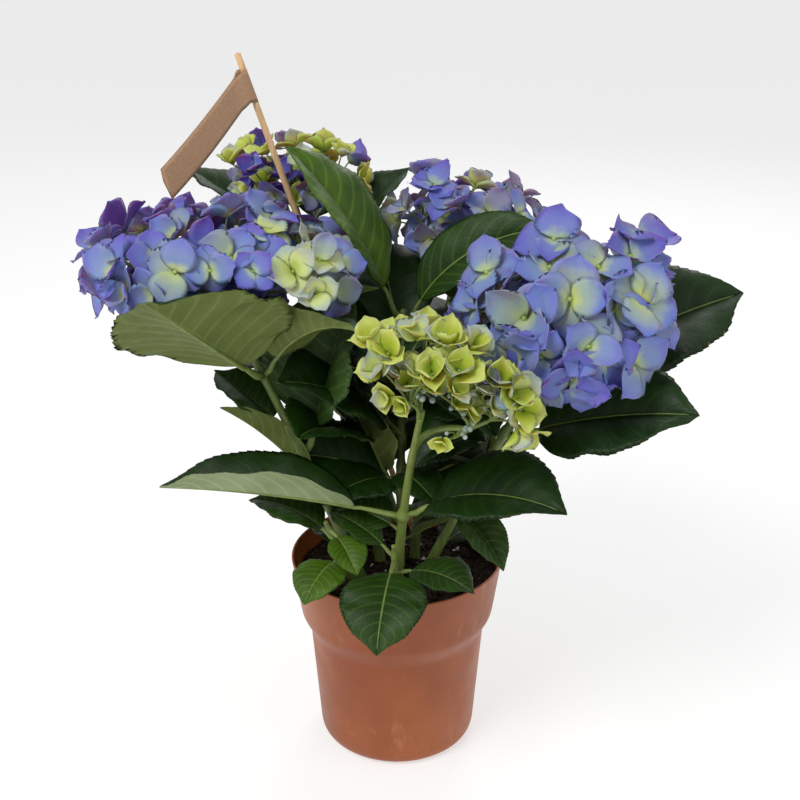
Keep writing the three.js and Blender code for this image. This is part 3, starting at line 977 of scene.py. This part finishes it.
# Florets that show most: place in mm, azimuth and rise of the way they face, sepal length in mm, and colour.
SET_FLORETS = dict(
    left=(
        (-78, -73, 336, -90, 20, 17, "violet"),
        (-63, -73, 327, -92, 8, 14, "cream"),
        (-44, -69, 328, -80, 8, 15, "cream"),
        (-57, -63, 345, -88, 38, 18, "cream"),
        (-43, -55, 349, -72, 50, 16, "cream"),
        (-120, -73, 343, -104, 14, 20, "sky"),
        (-91, -63, 352, -90, 50, 20, "mist"),
        (-156, -58, 345, -140, 25, 20, "violet"),
        (-149, -64, 332, -128, 2, 18, "sky"),
        (-166, -40, 328, -165, -14, 20, "violet"),
        (-101, -74, 339, -96, 12, 18, "sky"),
        (-32, -30, 340, -40, 30, 18, "violet"),
        (-36, -44, 329, -60, 4, 17, "mist"),
        (-134, -68, 330, -110, -4, 17, "violet"),
    ),
    right=(
        (95, -75, 333, -98, 22, 24, "pearl"),
        (71, -77, 323, -118, 12, 25, "sky"),
        (104, -91, 311, -85, 24, 21, "sky"),
        (134, -68, 330, -62, 30, 25, "pearl"),
        (132, -44, 348, -62, 58, 21, "violet"),
        (64, -84, 304, -118, -4, 23, "sky"),
        (114, -90, 303, -72, 4, 22, "violet"),
        (96, -90, 294, -92, -28, 22, "violet"),
        (79, -89, 305, -100, 2, 20, "violet"),
        (90, -36, 356, -96, 56, 23, "violet"),
        (141, -26, 352, -38, 66, 25, "violet"),
        (52, -48, 340, -142, 36, 23, "sky"),
        (45, -59, 323, -152, 14, 19, "sky"),
        (112, -60, 346, -80, 60, 21, "mist"),
    ),
    front=(
        (-12, -98, 316, -140, 62, 15, "lime"),
        (-4, -110, 313, -110, 55, 16, "lime"),
        (-8, -112, 306, -128, 30, 14, "lime"),
        (12, -104, 320, -90, 76, 15, "lime"),
        (26, -110, 318, -84, 66, 16, "lime"),
        (33, -116, 306, -88, 50, 17, "lime"),
        (19, -118, 305, -95, 46, 14, "lime"),
        (40, -104, 314, -50, 60, 15, "lime"),
        (-4, -118, 293, -120, 8, 11, "lime"),
        (3, -118, 290, -100, 0, 9, "lime"),
        (52, -112, 300, -70, 44, 15, "lime"),
        (62, -109, 292, -58, 24, 16, "lime"),
        (66, -109, 282, -60, 4, 16, "lime"),
        (66, -107, 272, -62, -50, 18, "lime"),
        (24, -124, 270, -100, -10, 8, "lime"),
        (44, -112, 301, -70, 30, 14, "mist"),
    ),
)


def lean_axis(degrees, azimuth):
    tilt, turn = math.radians(degrees), math.radians(azimuth)
    return np.array((math.sin(tilt) * math.cos(turn), math.sin(tilt) * math.sin(turn), math.cos(tilt)))


def pick_class(plan, offset, chance):
    """A floret's colour, with one colour likelier towards one side of the head."""
    shares = dict(plan["shares"])
    name, towards, gain = plan["pale"]
    shares[name] = shares.get(name, 0) + gain * max(0, float(np.dot(offset, towards)) - 0.35)
    names = list(shares)
    return chance.choices(names, [shares[n] for n in names])[0]


def curved(start, stop, first, count=7):
    """Points from start to stop that set off along `first`."""
    reach = np.linalg.norm(stop - start)
    knee = start + np.asarray(first) * reach * 0.5
    share = np.linspace(0, 1, count)[:, None]
    return (1 - share) ** 2 * start + 2 * share * (1 - share) * knee + share ** 2 * stop


class Look:
    """The surfaces of a head's florets, each with its strip of the map, and those a floret has."""

    def __init__(self, name, plan):
        self.names = list(plan["shares"])
        set_by_hand = sorted({row[-1] for row in SET_FLORETS.get(name, ())})
        for colour in set_by_hand + [plan["pale"][0]]:
            if colour not in self.names:
                self.names.append(colour)
        for other in [NEXT_CLASS[colour] for colour in self.names]:
            if other not in self.names:
                self.names.append(other)
        self.bud = len(self.names)
        self.point = plan["point"]
        wide = 1 / (len(self.names) + 1)
        self.cells = [(k * wide + 0.004, 0.01, (k + 1) * wide - 0.004, 0.99) for k in range(len(self.names))]
        self.cells.append((1 - wide, 0.0, 1.0, 1.0))
        self.surfaces = []
        for colour, cell in zip(self.names, self.cells):
            parts = [linear(*part) for part in CLASSES[colour]]
            self.surfaces.append(sepal_surface(name + "_" + colour, *parts, cell))
        self.surfaces.append(plain_surface(name + "_buds", linear(150, 172, 92), 0.5, 0.3, 300))

    def choose(self, colour):
        self.own = self.names.index(colour)
        self.other = self.names.index(NEXT_CLASS[colour])


def settle_floret(build, floret, look, chance, leaves, tries, step, shrink):
    """Adds a floret, moved by `step` and made smaller until it is clear of the leaves, or leaves it out."""
    centre, facing, size, openness = floret
    for _ in range(tries):
        trial = Build()
        add_floret(trial, centre, facing, size, openness, look, chance)
        tree = trial.tree()
        if not any(tree.overlap(leaf) for leaf in leaves):
            build.merge(trial)
            return [(centre, facing)]
        centre = centre + step
        size *= shrink
    return []


def build_head(name, plan, limb, stalk, seed, leaves):
    """A flower head: the listed florets, then others over its surface, then a layer further in."""
    node = "flower_head_" + name
    chance = random.Random(seed)
    axis = lean_axis(*plan["lean"])
    look = Look(name, plan)
    hub = limb.point(limb.high) - axis * 2 * MM
    places, outs = spread_points(node, axis, plan["pitch"], plan["under"], seed)
    middle = places.mean(axis=0)
    size = np.abs(places - middle).max(axis=0)
    inner, inner_outs = spread_points(node, axis, plan["pitch"] * SPREAD["inner_pitch"],
                                      plan["under"] + plan["deeper"], seed + 1)
    inner = mix(hub, inner, SPREAD["inner_reach"])
    build = Build()
    florets = []
    chosen = SET_FLORETS.get(name, ())
    for x, y, z, azimuth, rise, length, colour in chosen:
        look.choose(colour)
        floret = (np.array((x, y, z)) * MM, lean_axis(90 - rise, azimuth), length * MM,
                  chance.uniform(*plan["openness"]))
        florets += settle_floret(build, floret, look, chance, leaves, 7, np.array((0, 0, 2.5 * MM)), 0.96)
    settled = np.array([row[:3] for row in chosen] or [(0, 0, 0)]) * MM
    for spots, directions, deep in ((places, outs, False), (inner, inner_outs, True)):
        for spot, out in zip(spots, directions):
            if not deep and np.linalg.norm(settled - spot, axis=1).min() < SPREAD["clear"] * plan["pitch"]:
                continue
            away = unit(spot - hub)
            shake = np.array([chance.uniform(-1, 1) for _ in range(3)])
            facing = unit(0.7 * out + 0.3 * away + 0.36 * shake)
            facing = unit(mix(facing, axis, plan.get("upright", 0)))
            centre = spot - out * chance.uniform(*SPREAD["below_skin"]) * MM
            # Painted shade: florets of the inner layer take the darker deep colour more often. Deep is also a real
            # colour of some outer florets.
            if deep and "deep" in look.names and chance.random() < SPREAD["inner_deep"]:
                look.choose("deep")
            else:
                look.choose(pick_class(plan, (spot - middle) / size, chance))
            length = plan["sepal"] * chance.uniform(*SPREAD["size"]) * (SPREAD["inner_size"] if deep else 1)
            floret = (centre, facing, length, chance.uniform(*plan["openness"]))
            florets += settle_floret(build, floret, look, chance, leaves, 6, -away * 3 * MM, 0.94)
    piece = build.make("florets_" + name, look.surfaces)
    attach(piece, "root")
    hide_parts(node)
    build_branches(name, plan, florets, hub, axis, limb, stalk, chance)


def build_branches(name, plan, florets, hub, axis, limb, stalk, chance):
    """The branches of a flower head: from the stem's end to clusters, and from those to each floret."""
    centres = np.array([centre for centre, _ in florets])
    picked = [int(np.argmax(centres @ axis))]
    while len(picked) < plan["clusters"]:
        gaps = np.min([np.linalg.norm(centres - centres[p], axis=1) for p in picked], axis=0)
        picked.append(int(gaps.argmax()))
    nearest = np.argmin([np.linalg.norm(centres - centres[p], axis=1) for p in picked], axis=0)
    build = Build()

    def branch(start, stop, first, kind, count=7):
        first_radius, last_radius, sides = BRANCHES[kind]
        radii = np.linspace(first_radius, last_radius, count) * MM
        build.tube(curved(start, stop, first, count), radii, sides, 0)

    arm = None
    if "arm" in plan:
        below, reach = plan["arm"]
        arm = hub + np.array(reach)
        branch(limb.point(limb.high - below), arm, (0.05, 0.0, 1.0), "arm", 14)
    for cluster in range(len(picked)):
        members = [florets[k] for k in np.nonzero(nearest == cluster)[0]]
        heart = np.mean([centre for centre, _ in members], axis=0)
        root, first = hub - axis * 3 * MM, axis
        if arm is not None and heart[0] > hub[0] + 8 * MM:
            root, first = arm, unit(np.array((1.0, -0.1, 0.3)))
        fork = mix(root, heart, 0.5) - axis * 2 * MM
        branch(root, fork, mix(first, unit(fork - root), 0.4), "cluster")
        for centre, facing in members:
            foot = centre - facing * 0.4 * MM
            branch(fork, foot, unit(mix(unit(heart - root), unit(foot - fork), 0.5)), "floret")
        for _ in range(plan.get("beads", 0)):
            shake = np.array([chance.uniform(-1, 1) for _ in range(3)])
            bead = fork + unit(axis * 0.9 + shake) * chance.uniform(7, 14) * MM
            branch(fork, bead, axis, "bead", 5)
            size = chance.uniform(1.1, 1.9) * MM
            build.blob(bead, (size, size, 1.1 * size), Quaternion(), 1)
    beads = plain_surface(name + "_unopened", linear(158, 172, 166), 0.45, 0.25, 200)
    piece = build.make("head_branches_" + name, [stalk, beads])
    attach(piece, "root")


# ------------------------------------------------------------------ the pot and what stands in it

POT = dict(
    segments=144,
    wall=1.5 * MM,
    lip=0.75 * MM,          # radius of the rounded rim
    underside=1.2 * MM,     # how far it stands above the foot ring
    ring=(9 * MM, 7 * MM, 1 * MM),  # the ring's inner slope and its outer edge, in from the pot's side
    floor=2.6 * MM,
    collar=0.7,             # share of the height above which the inside follows the outside closely
    wobble=0.35 * MM,       # how far the rim is out of round
)


def turned(profile, segments):
    """Points and faces of a shape turned about the Z axis from (radius, height) pairs."""
    profile = np.asarray(profile)
    turn = np.linspace(0, 2 * math.pi, segments, endpoint=False)
    rings = np.stack([profile[:, None, 0] * np.cos(turn), profile[:, None, 0] * np.sin(turn),
                      np.broadcast_to(profile[:, None, 1], (len(profile), segments))], axis=2)
    faces = []
    places = []
    for k in range(len(profile) - 1):
        for j in range(segments):
            after = (j + 1) % segments
            faces.append((k * segments + j, k * segments + after,
                          (k + 1) * segments + after, (k + 1) * segments + j))
            for row, column in ((k, j), (k, j + 1), (k + 1, j + 1), (k + 1, j)):
                places.append((column / segments, row / (len(profile) - 1)))
    return rings, faces, places


def pot_profile(outer, height):
    """The pot's outline, from the middle of its underside round the rim to the middle of its floor."""
    foot, rim = outer[0, 0], outer[-1, 0]
    lip, wall = POT["lip"], POT["wall"]
    slope_in, slope_out, edge = POT["ring"]
    profile = [(0.0, POT["underside"]), (foot - slope_in, POT["underside"]), (foot - slope_out, 0.0),
               (foot - edge, 0.0)]
    profile += [tuple(p) for p in outer[:-1]]
    for angle in np.linspace(-0.2, math.pi, 9):
        profile.append((rim - lip + lip * math.cos(angle), height - lip + lip * math.sin(angle)))
    collar = outer[:, 1] > POT["collar"] * height
    profile += [(r - wall, z) for r, z in outer[collar][::-1][1:]]
    profile += [(r - wall, z) for r, z in outer[(outer[:, 1] > 4 * MM) & ~collar][::-3]]
    return profile + [(outer[6, 0] - wall - 4 * MM, POT["floor"]), (0.0, POT["floor"])]


def build_pot():
    faces = triangles("pot")
    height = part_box("pot")[1][2]
    cuts = []
    for level in np.linspace(0.4 * MM, height - 0.6 * MM, CUTS["pot"]):
        ends = level_cut(faces, level)[0]
        cuts.append((np.hypot(ends[:, 0], ends[:, 1]).max(), level))
    outer = np.array(cuts)
    for _ in range(2):
        outer[1:-1] = (outer[:-2] + 2 * outer[1:-1] + outer[2:]) / 4
    rings, quads, places = turned(pot_profile(outer, height), POT["segments"])
    angle = np.arctan2(rings[..., 1], rings[..., 0])
    level = rings[..., 2] / height
    wobble = POT["wobble"] * np.sin(2 * angle + 0.6) * smooth_step(level * 1.4 - 0.4)
    scale = 1 + wobble / np.maximum(np.hypot(rings[..., 0], rings[..., 1]), 1 * MM)
    rings[..., 0] *= scale
    rings[..., 1] *= scale
    build = Build()
    build.add(rings.reshape(-1, 3), quads, 0, places)
    piece = build.make("nursery_pot", [pot_surface(height)])
    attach(piece, "root")
    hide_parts("pot")


def pot_surface(height):
    """Matt terracotta-coloured plastic, with scuffs, dust and splashes of compost."""
    graph = Graph("pot_plastic", roughness=0.42, bump=0.25)
    place = graph.object_place()
    split = graph.nodes.new("ShaderNodeSeparateXYZ")
    graph.links.new(place, split.inputs[0])
    level = graph.math("DIVIDE", split.outputs["Z"], height)
    broad = graph.noise(14, 3)
    fine = graph.noise(900, 2)
    colour = graph.blend(graph.span(broad, 0.35, 0.65), linear(136, 63, 15), linear(158, 82, 30))
    scuffs = graph.noise(60, 6, graph.stretched((1, 1, 0.35)), roughness=0.7)
    colour = graph.blend(graph.span(scuffs, 0.58, 0.76, 0, 0.5), colour, linear(184, 122, 84))
    splash = graph.span(graph.cells(52), 0.1, 0.04)
    splash = graph.math("MULTIPLY", splash, graph.span(graph.noise(30, 2), 0.56, 0.62))
    colour = graph.blend(graph.math("MULTIPLY", splash, 0.5), colour, linear(88, 46, 26))
    specks = graph.span(graph.noise(220, 3), 0.6, 0.72)
    dust = graph.math("MULTIPLY", specks, graph.span(level, 0.35, 0.0, 0, 0.5))
    colour = graph.blend(dust, colour, linear(172, 118, 88))
    rough = graph.span(graph.noise(40, 4), 0.3, 0.7, 0.34, 0.5)
    return graph.finish(colour, graph.math("ADD", fine, scuffs), 0.0002, rough)


COMPOST = dict(
    rings=29,
    segments=96,
    lowest=119.5 * MM,  # of its surface
    lumps=1.5 * MM,
    skirt=(0.88, 14 * MM),  # how far in and how far down its hidden side goes
    loose=(             # material, how many, sizes in mm, and how flat they are
        (0, 900, (0.8, 2.6), (1, 1, 0.75)),
        (1, 70, (0.8, 1.8), (1, 1, 0.75)),
        (2, 130, (1.2, 3.5), (1, 0.3, 0.25)),
    ),
)


def build_soil():
    """Dark compost with crumbs, bits of bark and white beads of perlite."""
    chance = random.Random(SEEDS["compost"])
    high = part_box("soil")[1]
    radius = max(high[0], high[1]) - 0.6 * MM
    level = (triangles("soil")[..., 2].max() + COMPOST["lowest"]) / 2
    segments = COMPOST["segments"]

    def surface(x, y):
        lump = noise.fractal(Vector((x * 55, y * 55, 0.3)), 1.0, 2.0, 4)
        return level - 0.6 * MM + COMPOST["lumps"] * lump

    def chart(x, y):
        return (0.5 + 3.4 * x, 0.5 + 3.4 * y)

    points = [(0, 0, surface(0, 0))]
    for share in np.linspace(0, 1, COMPOST["rings"] + 1)[1:]:
        for k in range(segments):
            turn = math.tau * k / segments
            x, y = radius * share * math.cos(turn), radius * share * math.sin(turn)
            points.append((x, y, surface(x, y)))
    inwards, down = COMPOST["skirt"]
    points += [(inwards * x, inwards * y, level - down) for x, y, z in points[-segments:]]
    faces = [(0, 1 + k, 1 + (k + 1) % segments) for k in range(segments)]
    for ring in range(COMPOST["rings"]):
        base = 1 + ring * segments
        for k in range(segments):
            after = (k + 1) % segments
            faces.append((base + k, base + segments + k, base + segments + after, base + after))
    faces.append(tuple(reversed(range(len(points) - segments, len(points)))))
    build = Build()
    build.add(points, faces, 0, [chart(*points[i][:2]) for face in faces for i in face])
    for kind, count, sizes, squash in COMPOST["loose"]:
        for k in range(count):
            reach = radius * 0.985 * math.sqrt(chance.random())
            turn = chance.uniform(0, math.tau)
            x, y = reach * math.cos(turn), reach * math.sin(turn)
            size = chance.uniform(*sizes) * MM
            z = surface(x, y) + size * 0.3 * squash[2]
            heading = Quaternion(UP, chance.uniform(0, math.tau))
            spin = heading @ Quaternion((1, 0, 0), chance.uniform(-0.6, 0.6))
            radii = [size * part for part in squash]
            build.blob((x, y, z), radii, spin, kind, chart(x, y), jitter=0.25, seed=k)
    compost = plain_surface("compost_bed", linear(38, 28, 22), 0.95, 0.6, 400, Specular_IOR_Level=0.2)
    perlite = plain_surface("perlite_beads", linear(206, 200, 186), 0.9, 0.2, 500)
    bark = plain_surface("bark_crumbs", linear(72, 50, 34), 0.9, 0.5, 300)
    piece = build.make("compost_surface", [compost, perlite, bark])
    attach(piece, "root")
    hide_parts("soil")


STICK = dict(
    radius=1.95 * MM,
    top_radius=1.5 * MM,
    foot=8 * MM,        # how far it goes down below its node
    sides=20,
)


def build_stick():
    """A plain round wooden stick, cut square at the top. Gives its centre line."""
    faces = triangles("label_stick")
    bottom, top = faces[..., 2].min(), faces[..., 2].max()
    levels = np.linspace(bottom + 2 * MM, top - 5 * MM, CUTS["stick"])
    line = fitted(levels, np.array([level_cut(faces, z)[1] for z in levels]), 1)
    low, high = bottom - STICK["foot"], top - 0.6 * MM
    heights = np.concatenate([np.linspace(low, high - 0.4 * MM, 40), [high]])
    radii = np.full(len(heights), STICK["radius"])
    radii[-1] = STICK["top_radius"]

    def relief(centre, out):
        return 1 + 0.03 * np.array([noise.noise(Vector((o[0] * 3, o[1] * 3, centre[2] * 30))) for o in out])

    build = Build()
    build.tube(line(heights), radii, STICK["sides"], 0, WHOLE_MAP, relief)
    graph = Graph("pale_wood", roughness=0.6, bump=0.4)
    grain = graph.noise(700, 4, graph.stretched((1, 1, 0.05)))
    broad = graph.noise(30, 2)
    colour = graph.blend(graph.span(grain, 0.35, 0.7), linear(226, 190, 146), linear(196, 152, 104))
    colour = graph.blend(graph.span(broad, 0.4, 0.7, 0, 0.4), colour, linear(214, 172, 122))
    piece = build.make("wooden_stick", [graph.finish(colour, grain, 0.0003)])
    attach(piece, "root")
    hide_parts("label_stick")
    return line


CARD = dict(
    thickness=0.25 * MM,
    apart=0.3 * MM,     # each face from the middle, where the two are glued together
    wrap=2.25 * MM,     # radius where it goes round the stick
    ripple=0.35 * MM,
    across=9,
)


def card_surface():
    graph = Graph("kraft_card", roughness=0.8, bump=0.35)
    fibre = graph.noise(500, 5, graph.stretched((1, 1, 3)))
    fleck = graph.span(graph.cells(500), 0.12, 0.06)
    colour = graph.blend(graph.span(fibre, 0.35, 0.65), linear(180, 144, 114), linear(166, 128, 98))
    colour = graph.blend(graph.math("MULTIPLY", fleck, 0.35), colour, linear(120, 86, 62))
    return graph.finish(colour, fibre, 0.0003)


def build_flag(stick_line):
    """The bare kraft band, folded round the stick and glued face to face."""
    faces = triangles("label_flag")
    points = faces.reshape(-1, 3)
    near = points[np.argmin([np.linalg.norm(p - stick_line(p[2])) for p in points])]
    far = points[np.linalg.norm(points - near, axis=1).argmax()]
    run = unit(np.array((far[0] - near[0], far[1] - near[1], 0)))
    reach = ((points - near) @ run).max()
    tops, bottoms = [], []
    for share in np.linspace(0.01, 0.99, CUTS["card"]):
        ends = section(faces, near + run * reach * share, run)[0]
        tops.append(ends[ends[:, 2].argmax()])
        bottoms.append(ends[ends[:, 2].argmin()])
    across = np.linspace(0, 1, CARD["across"])
    share = np.linspace(0, 1, CUTS["card"])
    face_out = unit(np.cross(run, (0, 0, 1.0)))
    middle = mix(np.array(tops)[:, None], np.array(bottoms)[:, None], across[None, :, None])
    ripple = CARD["ripple"] * np.sin(5 * share[:, None] + 2 * across[None, :]) * share[:, None]
    middle = middle + face_out * ripple[..., None]
    wrap = CARD["wrap"]
    apart = np.maximum(CARD["apart"], wrap * (1 - smooth_step(share * 9)))[:, None, None]
    front = middle + face_out * apart
    back = middle - face_out * apart
    start = stick_line(middle[0, :, 2])
    turn_in = [start - run * wrap * math.cos(angle) + face_out * wrap * math.sin(angle)
               for angle in np.linspace(math.pi / 2, -math.pi / 2, 9)[1:-1]]
    lead_front = start + face_out * wrap
    lead_back = start - face_out * wrap
    skin = np.concatenate([front[::-1], lead_front[None], np.array(turn_in), lead_back[None], back])
    normals = unit(np.cross(np.gradient(skin, axis=0), np.gradient(skin, axis=1)))
    inner = skin - normals * CARD["thickness"] * np.sign((normals[0, CARD["across"] // 2] @ face_out) or 1)
    chart_u, chart_v = np.meshgrid(np.linspace(0.02, 0.98, skin.shape[1]), np.linspace(0.02, 0.98, len(skin)))
    chart = np.stack([chart_u, chart_v], axis=2)
    build = Build()
    build.shell(skin, inner, chart, chart, (0, 0))
    piece = build.make("kraft_flag", [card_surface()])
    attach(piece, "root")
    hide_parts("label_flag")


# ------------------------------------------------------------------ camera, floor and light

def add_camera():
    lens = bpy.data.cameras.new("camera")
    lens.lens = CAMERA["lens"]
    lens.sensor_width = CAMERA["sensor"]
    camera = bpy.data.objects.new("camera", lens)
    camera.location = CAMERA["place"]
    camera.rotation_euler = (math.radians(90 - CAMERA["down"]), 0, 0)
    bpy.context.scene.collection.objects.link(camera)
    bpy.context.scene.camera = camera


def add_floor():
    half = 20       # metres
    mesh = bpy.data.meshes.new("floor")
    corners = [(-half, -half, 0), (half, -half, 0), (half, half, 0), (-half, half, 0)]
    mesh.from_pydata(corners, [], [(0, 1, 2, 3)])
    mesh.materials.append(plain_surface("floor_paper", (0.5, 0.5, 0.5, 1), 0.9, 0.01, 2,
                                        Emission_Color=(1, 1, 1, 1), Emission_Strength=0.56))
    floor = bpy.data.objects.new("floor", mesh)
    bpy.context.scene.collection.objects.link(floor)


LAMPS = dict(       # place, what it points at, its width and its power in watts
    key=((-0.9, -1.1, 1.7), (0, 0, 0.25), 0.9, 22),
    fill=((1.5, -0.6, 0.9), (0, 0, 0.2), 1.4, 4),
    rim=((0.4, 1.5, 1.4), (0, 0, 0.3), 0.9, 8),
)


def add_light():
    for name, (place, target, size, power) in LAMPS.items():
        light = bpy.data.lights.new(name, "AREA")
        light.shape = "DISK"
        light.size = size
        light.energy = power
        lamp = bpy.data.objects.new(name, light)
        lamp.location = place
        lamp.rotation_euler = (Vector(target) - Vector(place)).to_track_quat("-Z", "Y").to_euler()
        bpy.context.scene.collection.objects.link(lamp)
    world = bpy.data.worlds.new("studio")
    world.use_nodes = True
    background = world.node_tree.nodes["Background"]
    background.inputs["Color"].default_value = (1, 1, 1, 1)
    background.inputs["Strength"].default_value = 0.5
    bpy.context.scene.world = world
    bpy.context.scene.view_settings.view_transform = "Standard"


# ------------------------------------------------------------------ the plant

STEM_OF = (     # the start of a leaf's name, and the stem that it grows on
    ("leaf_low_left", "shoot_left"),
    ("leaf_front_hanging", "shoot_front"),
    ("leaf_front_low", "shoot_front"),
    ("leaf_front", "stem_front"),
    ("leaf_left", "stem_left"),
    ("leaf_right", "stem_right"),
    ("leaf_middle", "stem_middle"),
    ("leaf_back_left", "stem_back_left"),
    ("leaf_back_right", "stem_back_right"),
)

LEAF_TINTS = dict(  # blade, veins, darker patches, roughness, strength of the veins
    dark=((22, 52, 7), (46, 78, 20), (14, 39, 4), 0.42, 0.35),
    middle=((36, 66, 11), (78, 108, 38), (26, 52, 7), 0.44, 0.45),
    young=((68, 99, 12), (110, 140, 42), (47, 76, 8), 0.44, 0.5),
    bluish=((56, 84, 32), (98, 124, 64), (42, 68, 24), 0.46, 0.5),
    under=((102, 116, 58), (132, 144, 86), (92, 106, 50), 0.6, 0.5),
    sage=((146, 160, 118), (172, 182, 142), (130, 146, 102), 0.6, 0.6),
)

UNDERSIDES = ("under", "sage")

GROWING = ("stem_middle", "stem_back_left", "stem_back_right", "stem_right", "stem_front", "stem_left")

# Leaves that hide the middle of the plant: stem, height in mm, azimuth, rise, bend, length and width in mm,
# roll, fold, sway and tint.
CENTRE_LEAVES = (
    ("stem_middle", 214, -152, 52, 40, 112, 66, -28, 12, 18, "dark"),
    ("stem_middle", 178, -168, 44, 50, 82, 56, -34, 10, -12, "dark"),
    ("stem_middle", 226, -34, 48, 60, 92, 56, 30, 12, 10, "dark"),
    ("stem_middle", 160, -30, 46, 55, 78, 48, 24, 12, -16, "middle"),
    ("stem_front", 168, 150, 30, 55, 56, 36, -24, 8, 10, "middle"),
    ("stem_right", 168, -62, 12, 62, 58, 30, 18, 30, 8, "bluish"),
    ("stem_left", 186, 176, 56, 24, 86, 34, 44, 26, 14, "middle"),
    ("stem_back_left", 196, -118, 48, 44, 104, 60, -20, 14, 12, "dark"),
    ("stem_back_right", 206, -58, 50, 46, 108, 62, 22, 14, -10, "dark"),
    ("stem_back_left", 160, -170, 40, 40, 84, 50, -14, 14, 8, "dark"),
    ("stem_back_right", 168, 4, 44, 48, 84, 50, 18, 14, 8, "dark"),
    ("stem_middle", 258, -100, 50, 60, 84, 52, 8, 14, 10, "dark"),
    ("stem_middle", 150, 168, 60, 50, 52, 30, -10, 16, 0, "young"),
)

TINT_OF = dict(
    leaf_middle_left="young", leaf_middle_right="middle",
    leaf_low_left_bumpy="young", leaf_low_left_small="young",
    leaf_low_left_round="middle", leaf_left_upright="bluish",
    leaf_left_under_head="bluish", leaf_front_hanging="middle", leaf_front_low_right="middle",
    leaf_front_low_left="middle", leaf_left_pale="middle", leaf_left_inner="middle",
)


def build_stems(limbs, blades, green, pale):
    for name, limb in limbs.items():
        own = [blade for blade in blades.values() if blade.limb is limb]
        surface = pale if name in ("stem_front", "shoot_front") else green
        build_stem(limb, own, name + "_skin", surface, foot_depth=8 * MM,
                   slim=0.72 if name == "stem_front" else 0.95)


def build_leaves(blades, surfaces, stalk):
    """Every leaf that has a node. Gives their shapes, to test other things against."""
    trees = []
    for seed, (name, blade) in enumerate(blades.items()):
        upper = surfaces[TINT_OF.get(name, "dark")]
        lower = surfaces["sage" if name == "leaf_front_left" else "under"]
        trees.append(place_leaf(blade, name.replace("leaf_", "blade_"), [upper, lower, stalk], seed))
    return trees


def build_grown_leaves(limbs, leaf_trees, surfaces, stalk):
    """The leaves that have no node of their own, joined by tint."""
    taken = []
    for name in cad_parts:
        if not name.startswith("leaf_"):
            faces = triangles(name)
            index = np.arange(3 * len(faces)).reshape(-1, 3)
            taken.append(BVHTree.FromPolygons(faces.reshape(-1, 3).tolist(), index.tolist()))
    taken += leaf_trees
    by_tint = {tint: [] for tint in surfaces}
    for stem, level, azimuth, rise, bend, length, width, roll, fold, sway, tint in CENTRE_LEAVES:
        blade = GrownBlade(limbs[stem], level * MM, azimuth, rise, bend, length * MM, width * MM,
                           roll, fold, sway)
        by_tint[tint].append(blade)
        points, faces = blade.sketch()
        taken.append(BVHTree.FromPolygons(points.tolist(), faces))
    for number, blade in enumerate(grow_leaves([limbs[name] for name in GROWING], taken, SEEDS["growth"])):
        by_tint[("dark", "middle", "dark")[number % 3]].append(blade)
    for tint, own in by_tint.items():
        if not own:
            continue
        build = Build()
        for seed, blade in enumerate(own):
            add_leaf(build, blade, SEEDS["grown_leaves"] + seed)
        piece = build.make("grown_leaves_" + tint, [surfaces[tint], surfaces["under"], stalk])
        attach(piece, "root")


def main():
    add_camera()
    add_floor()
    add_light()
    limbs = {name: Limb(name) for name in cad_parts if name.startswith(("stem_", "shoot_"))}
    blades = {}
    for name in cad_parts:
        if name.startswith("leaf_"):
            owner = next(stem for start, stem in STEM_OF if name.startswith(start))
            blades[name] = Blade(name, limbs[owner])

    green = stalk_surface("stem_green", linear(86, 106, 40), linear(68, 90, 32), linear(70, 52, 60))
    pale = stalk_surface("stem_pale", linear(112, 130, 56), linear(92, 110, 42), linear(120, 110, 80))
    stalk = stalk_surface("leaf_stalk", linear(112, 130, 60), linear(90, 110, 48), linear(110, 110, 70))
    surfaces = {}
    for tint, (blade, vein, dark, gloss, strength) in LEAF_TINTS.items():
        surfaces[tint] = leaf_surface("leaf_" + tint, linear(*blade), linear(*vein), linear(*dark),
                                      gloss, strength, under=tint in UNDERSIDES)
    build_stems(limbs, blades, green, pale)
    leaf_trees = build_leaves(blades, surfaces, stalk)
    build_grown_leaves(limbs, leaf_trees, surfaces, stalk)
    for number, (name, plan) in enumerate(HEADS.items()):
        build_head(name, plan, limbs["stem_" + name], pale, SEEDS["heads"] + number, leaf_trees)
    build_pot()
    build_soil()
    build_flag(build_stick())


main()
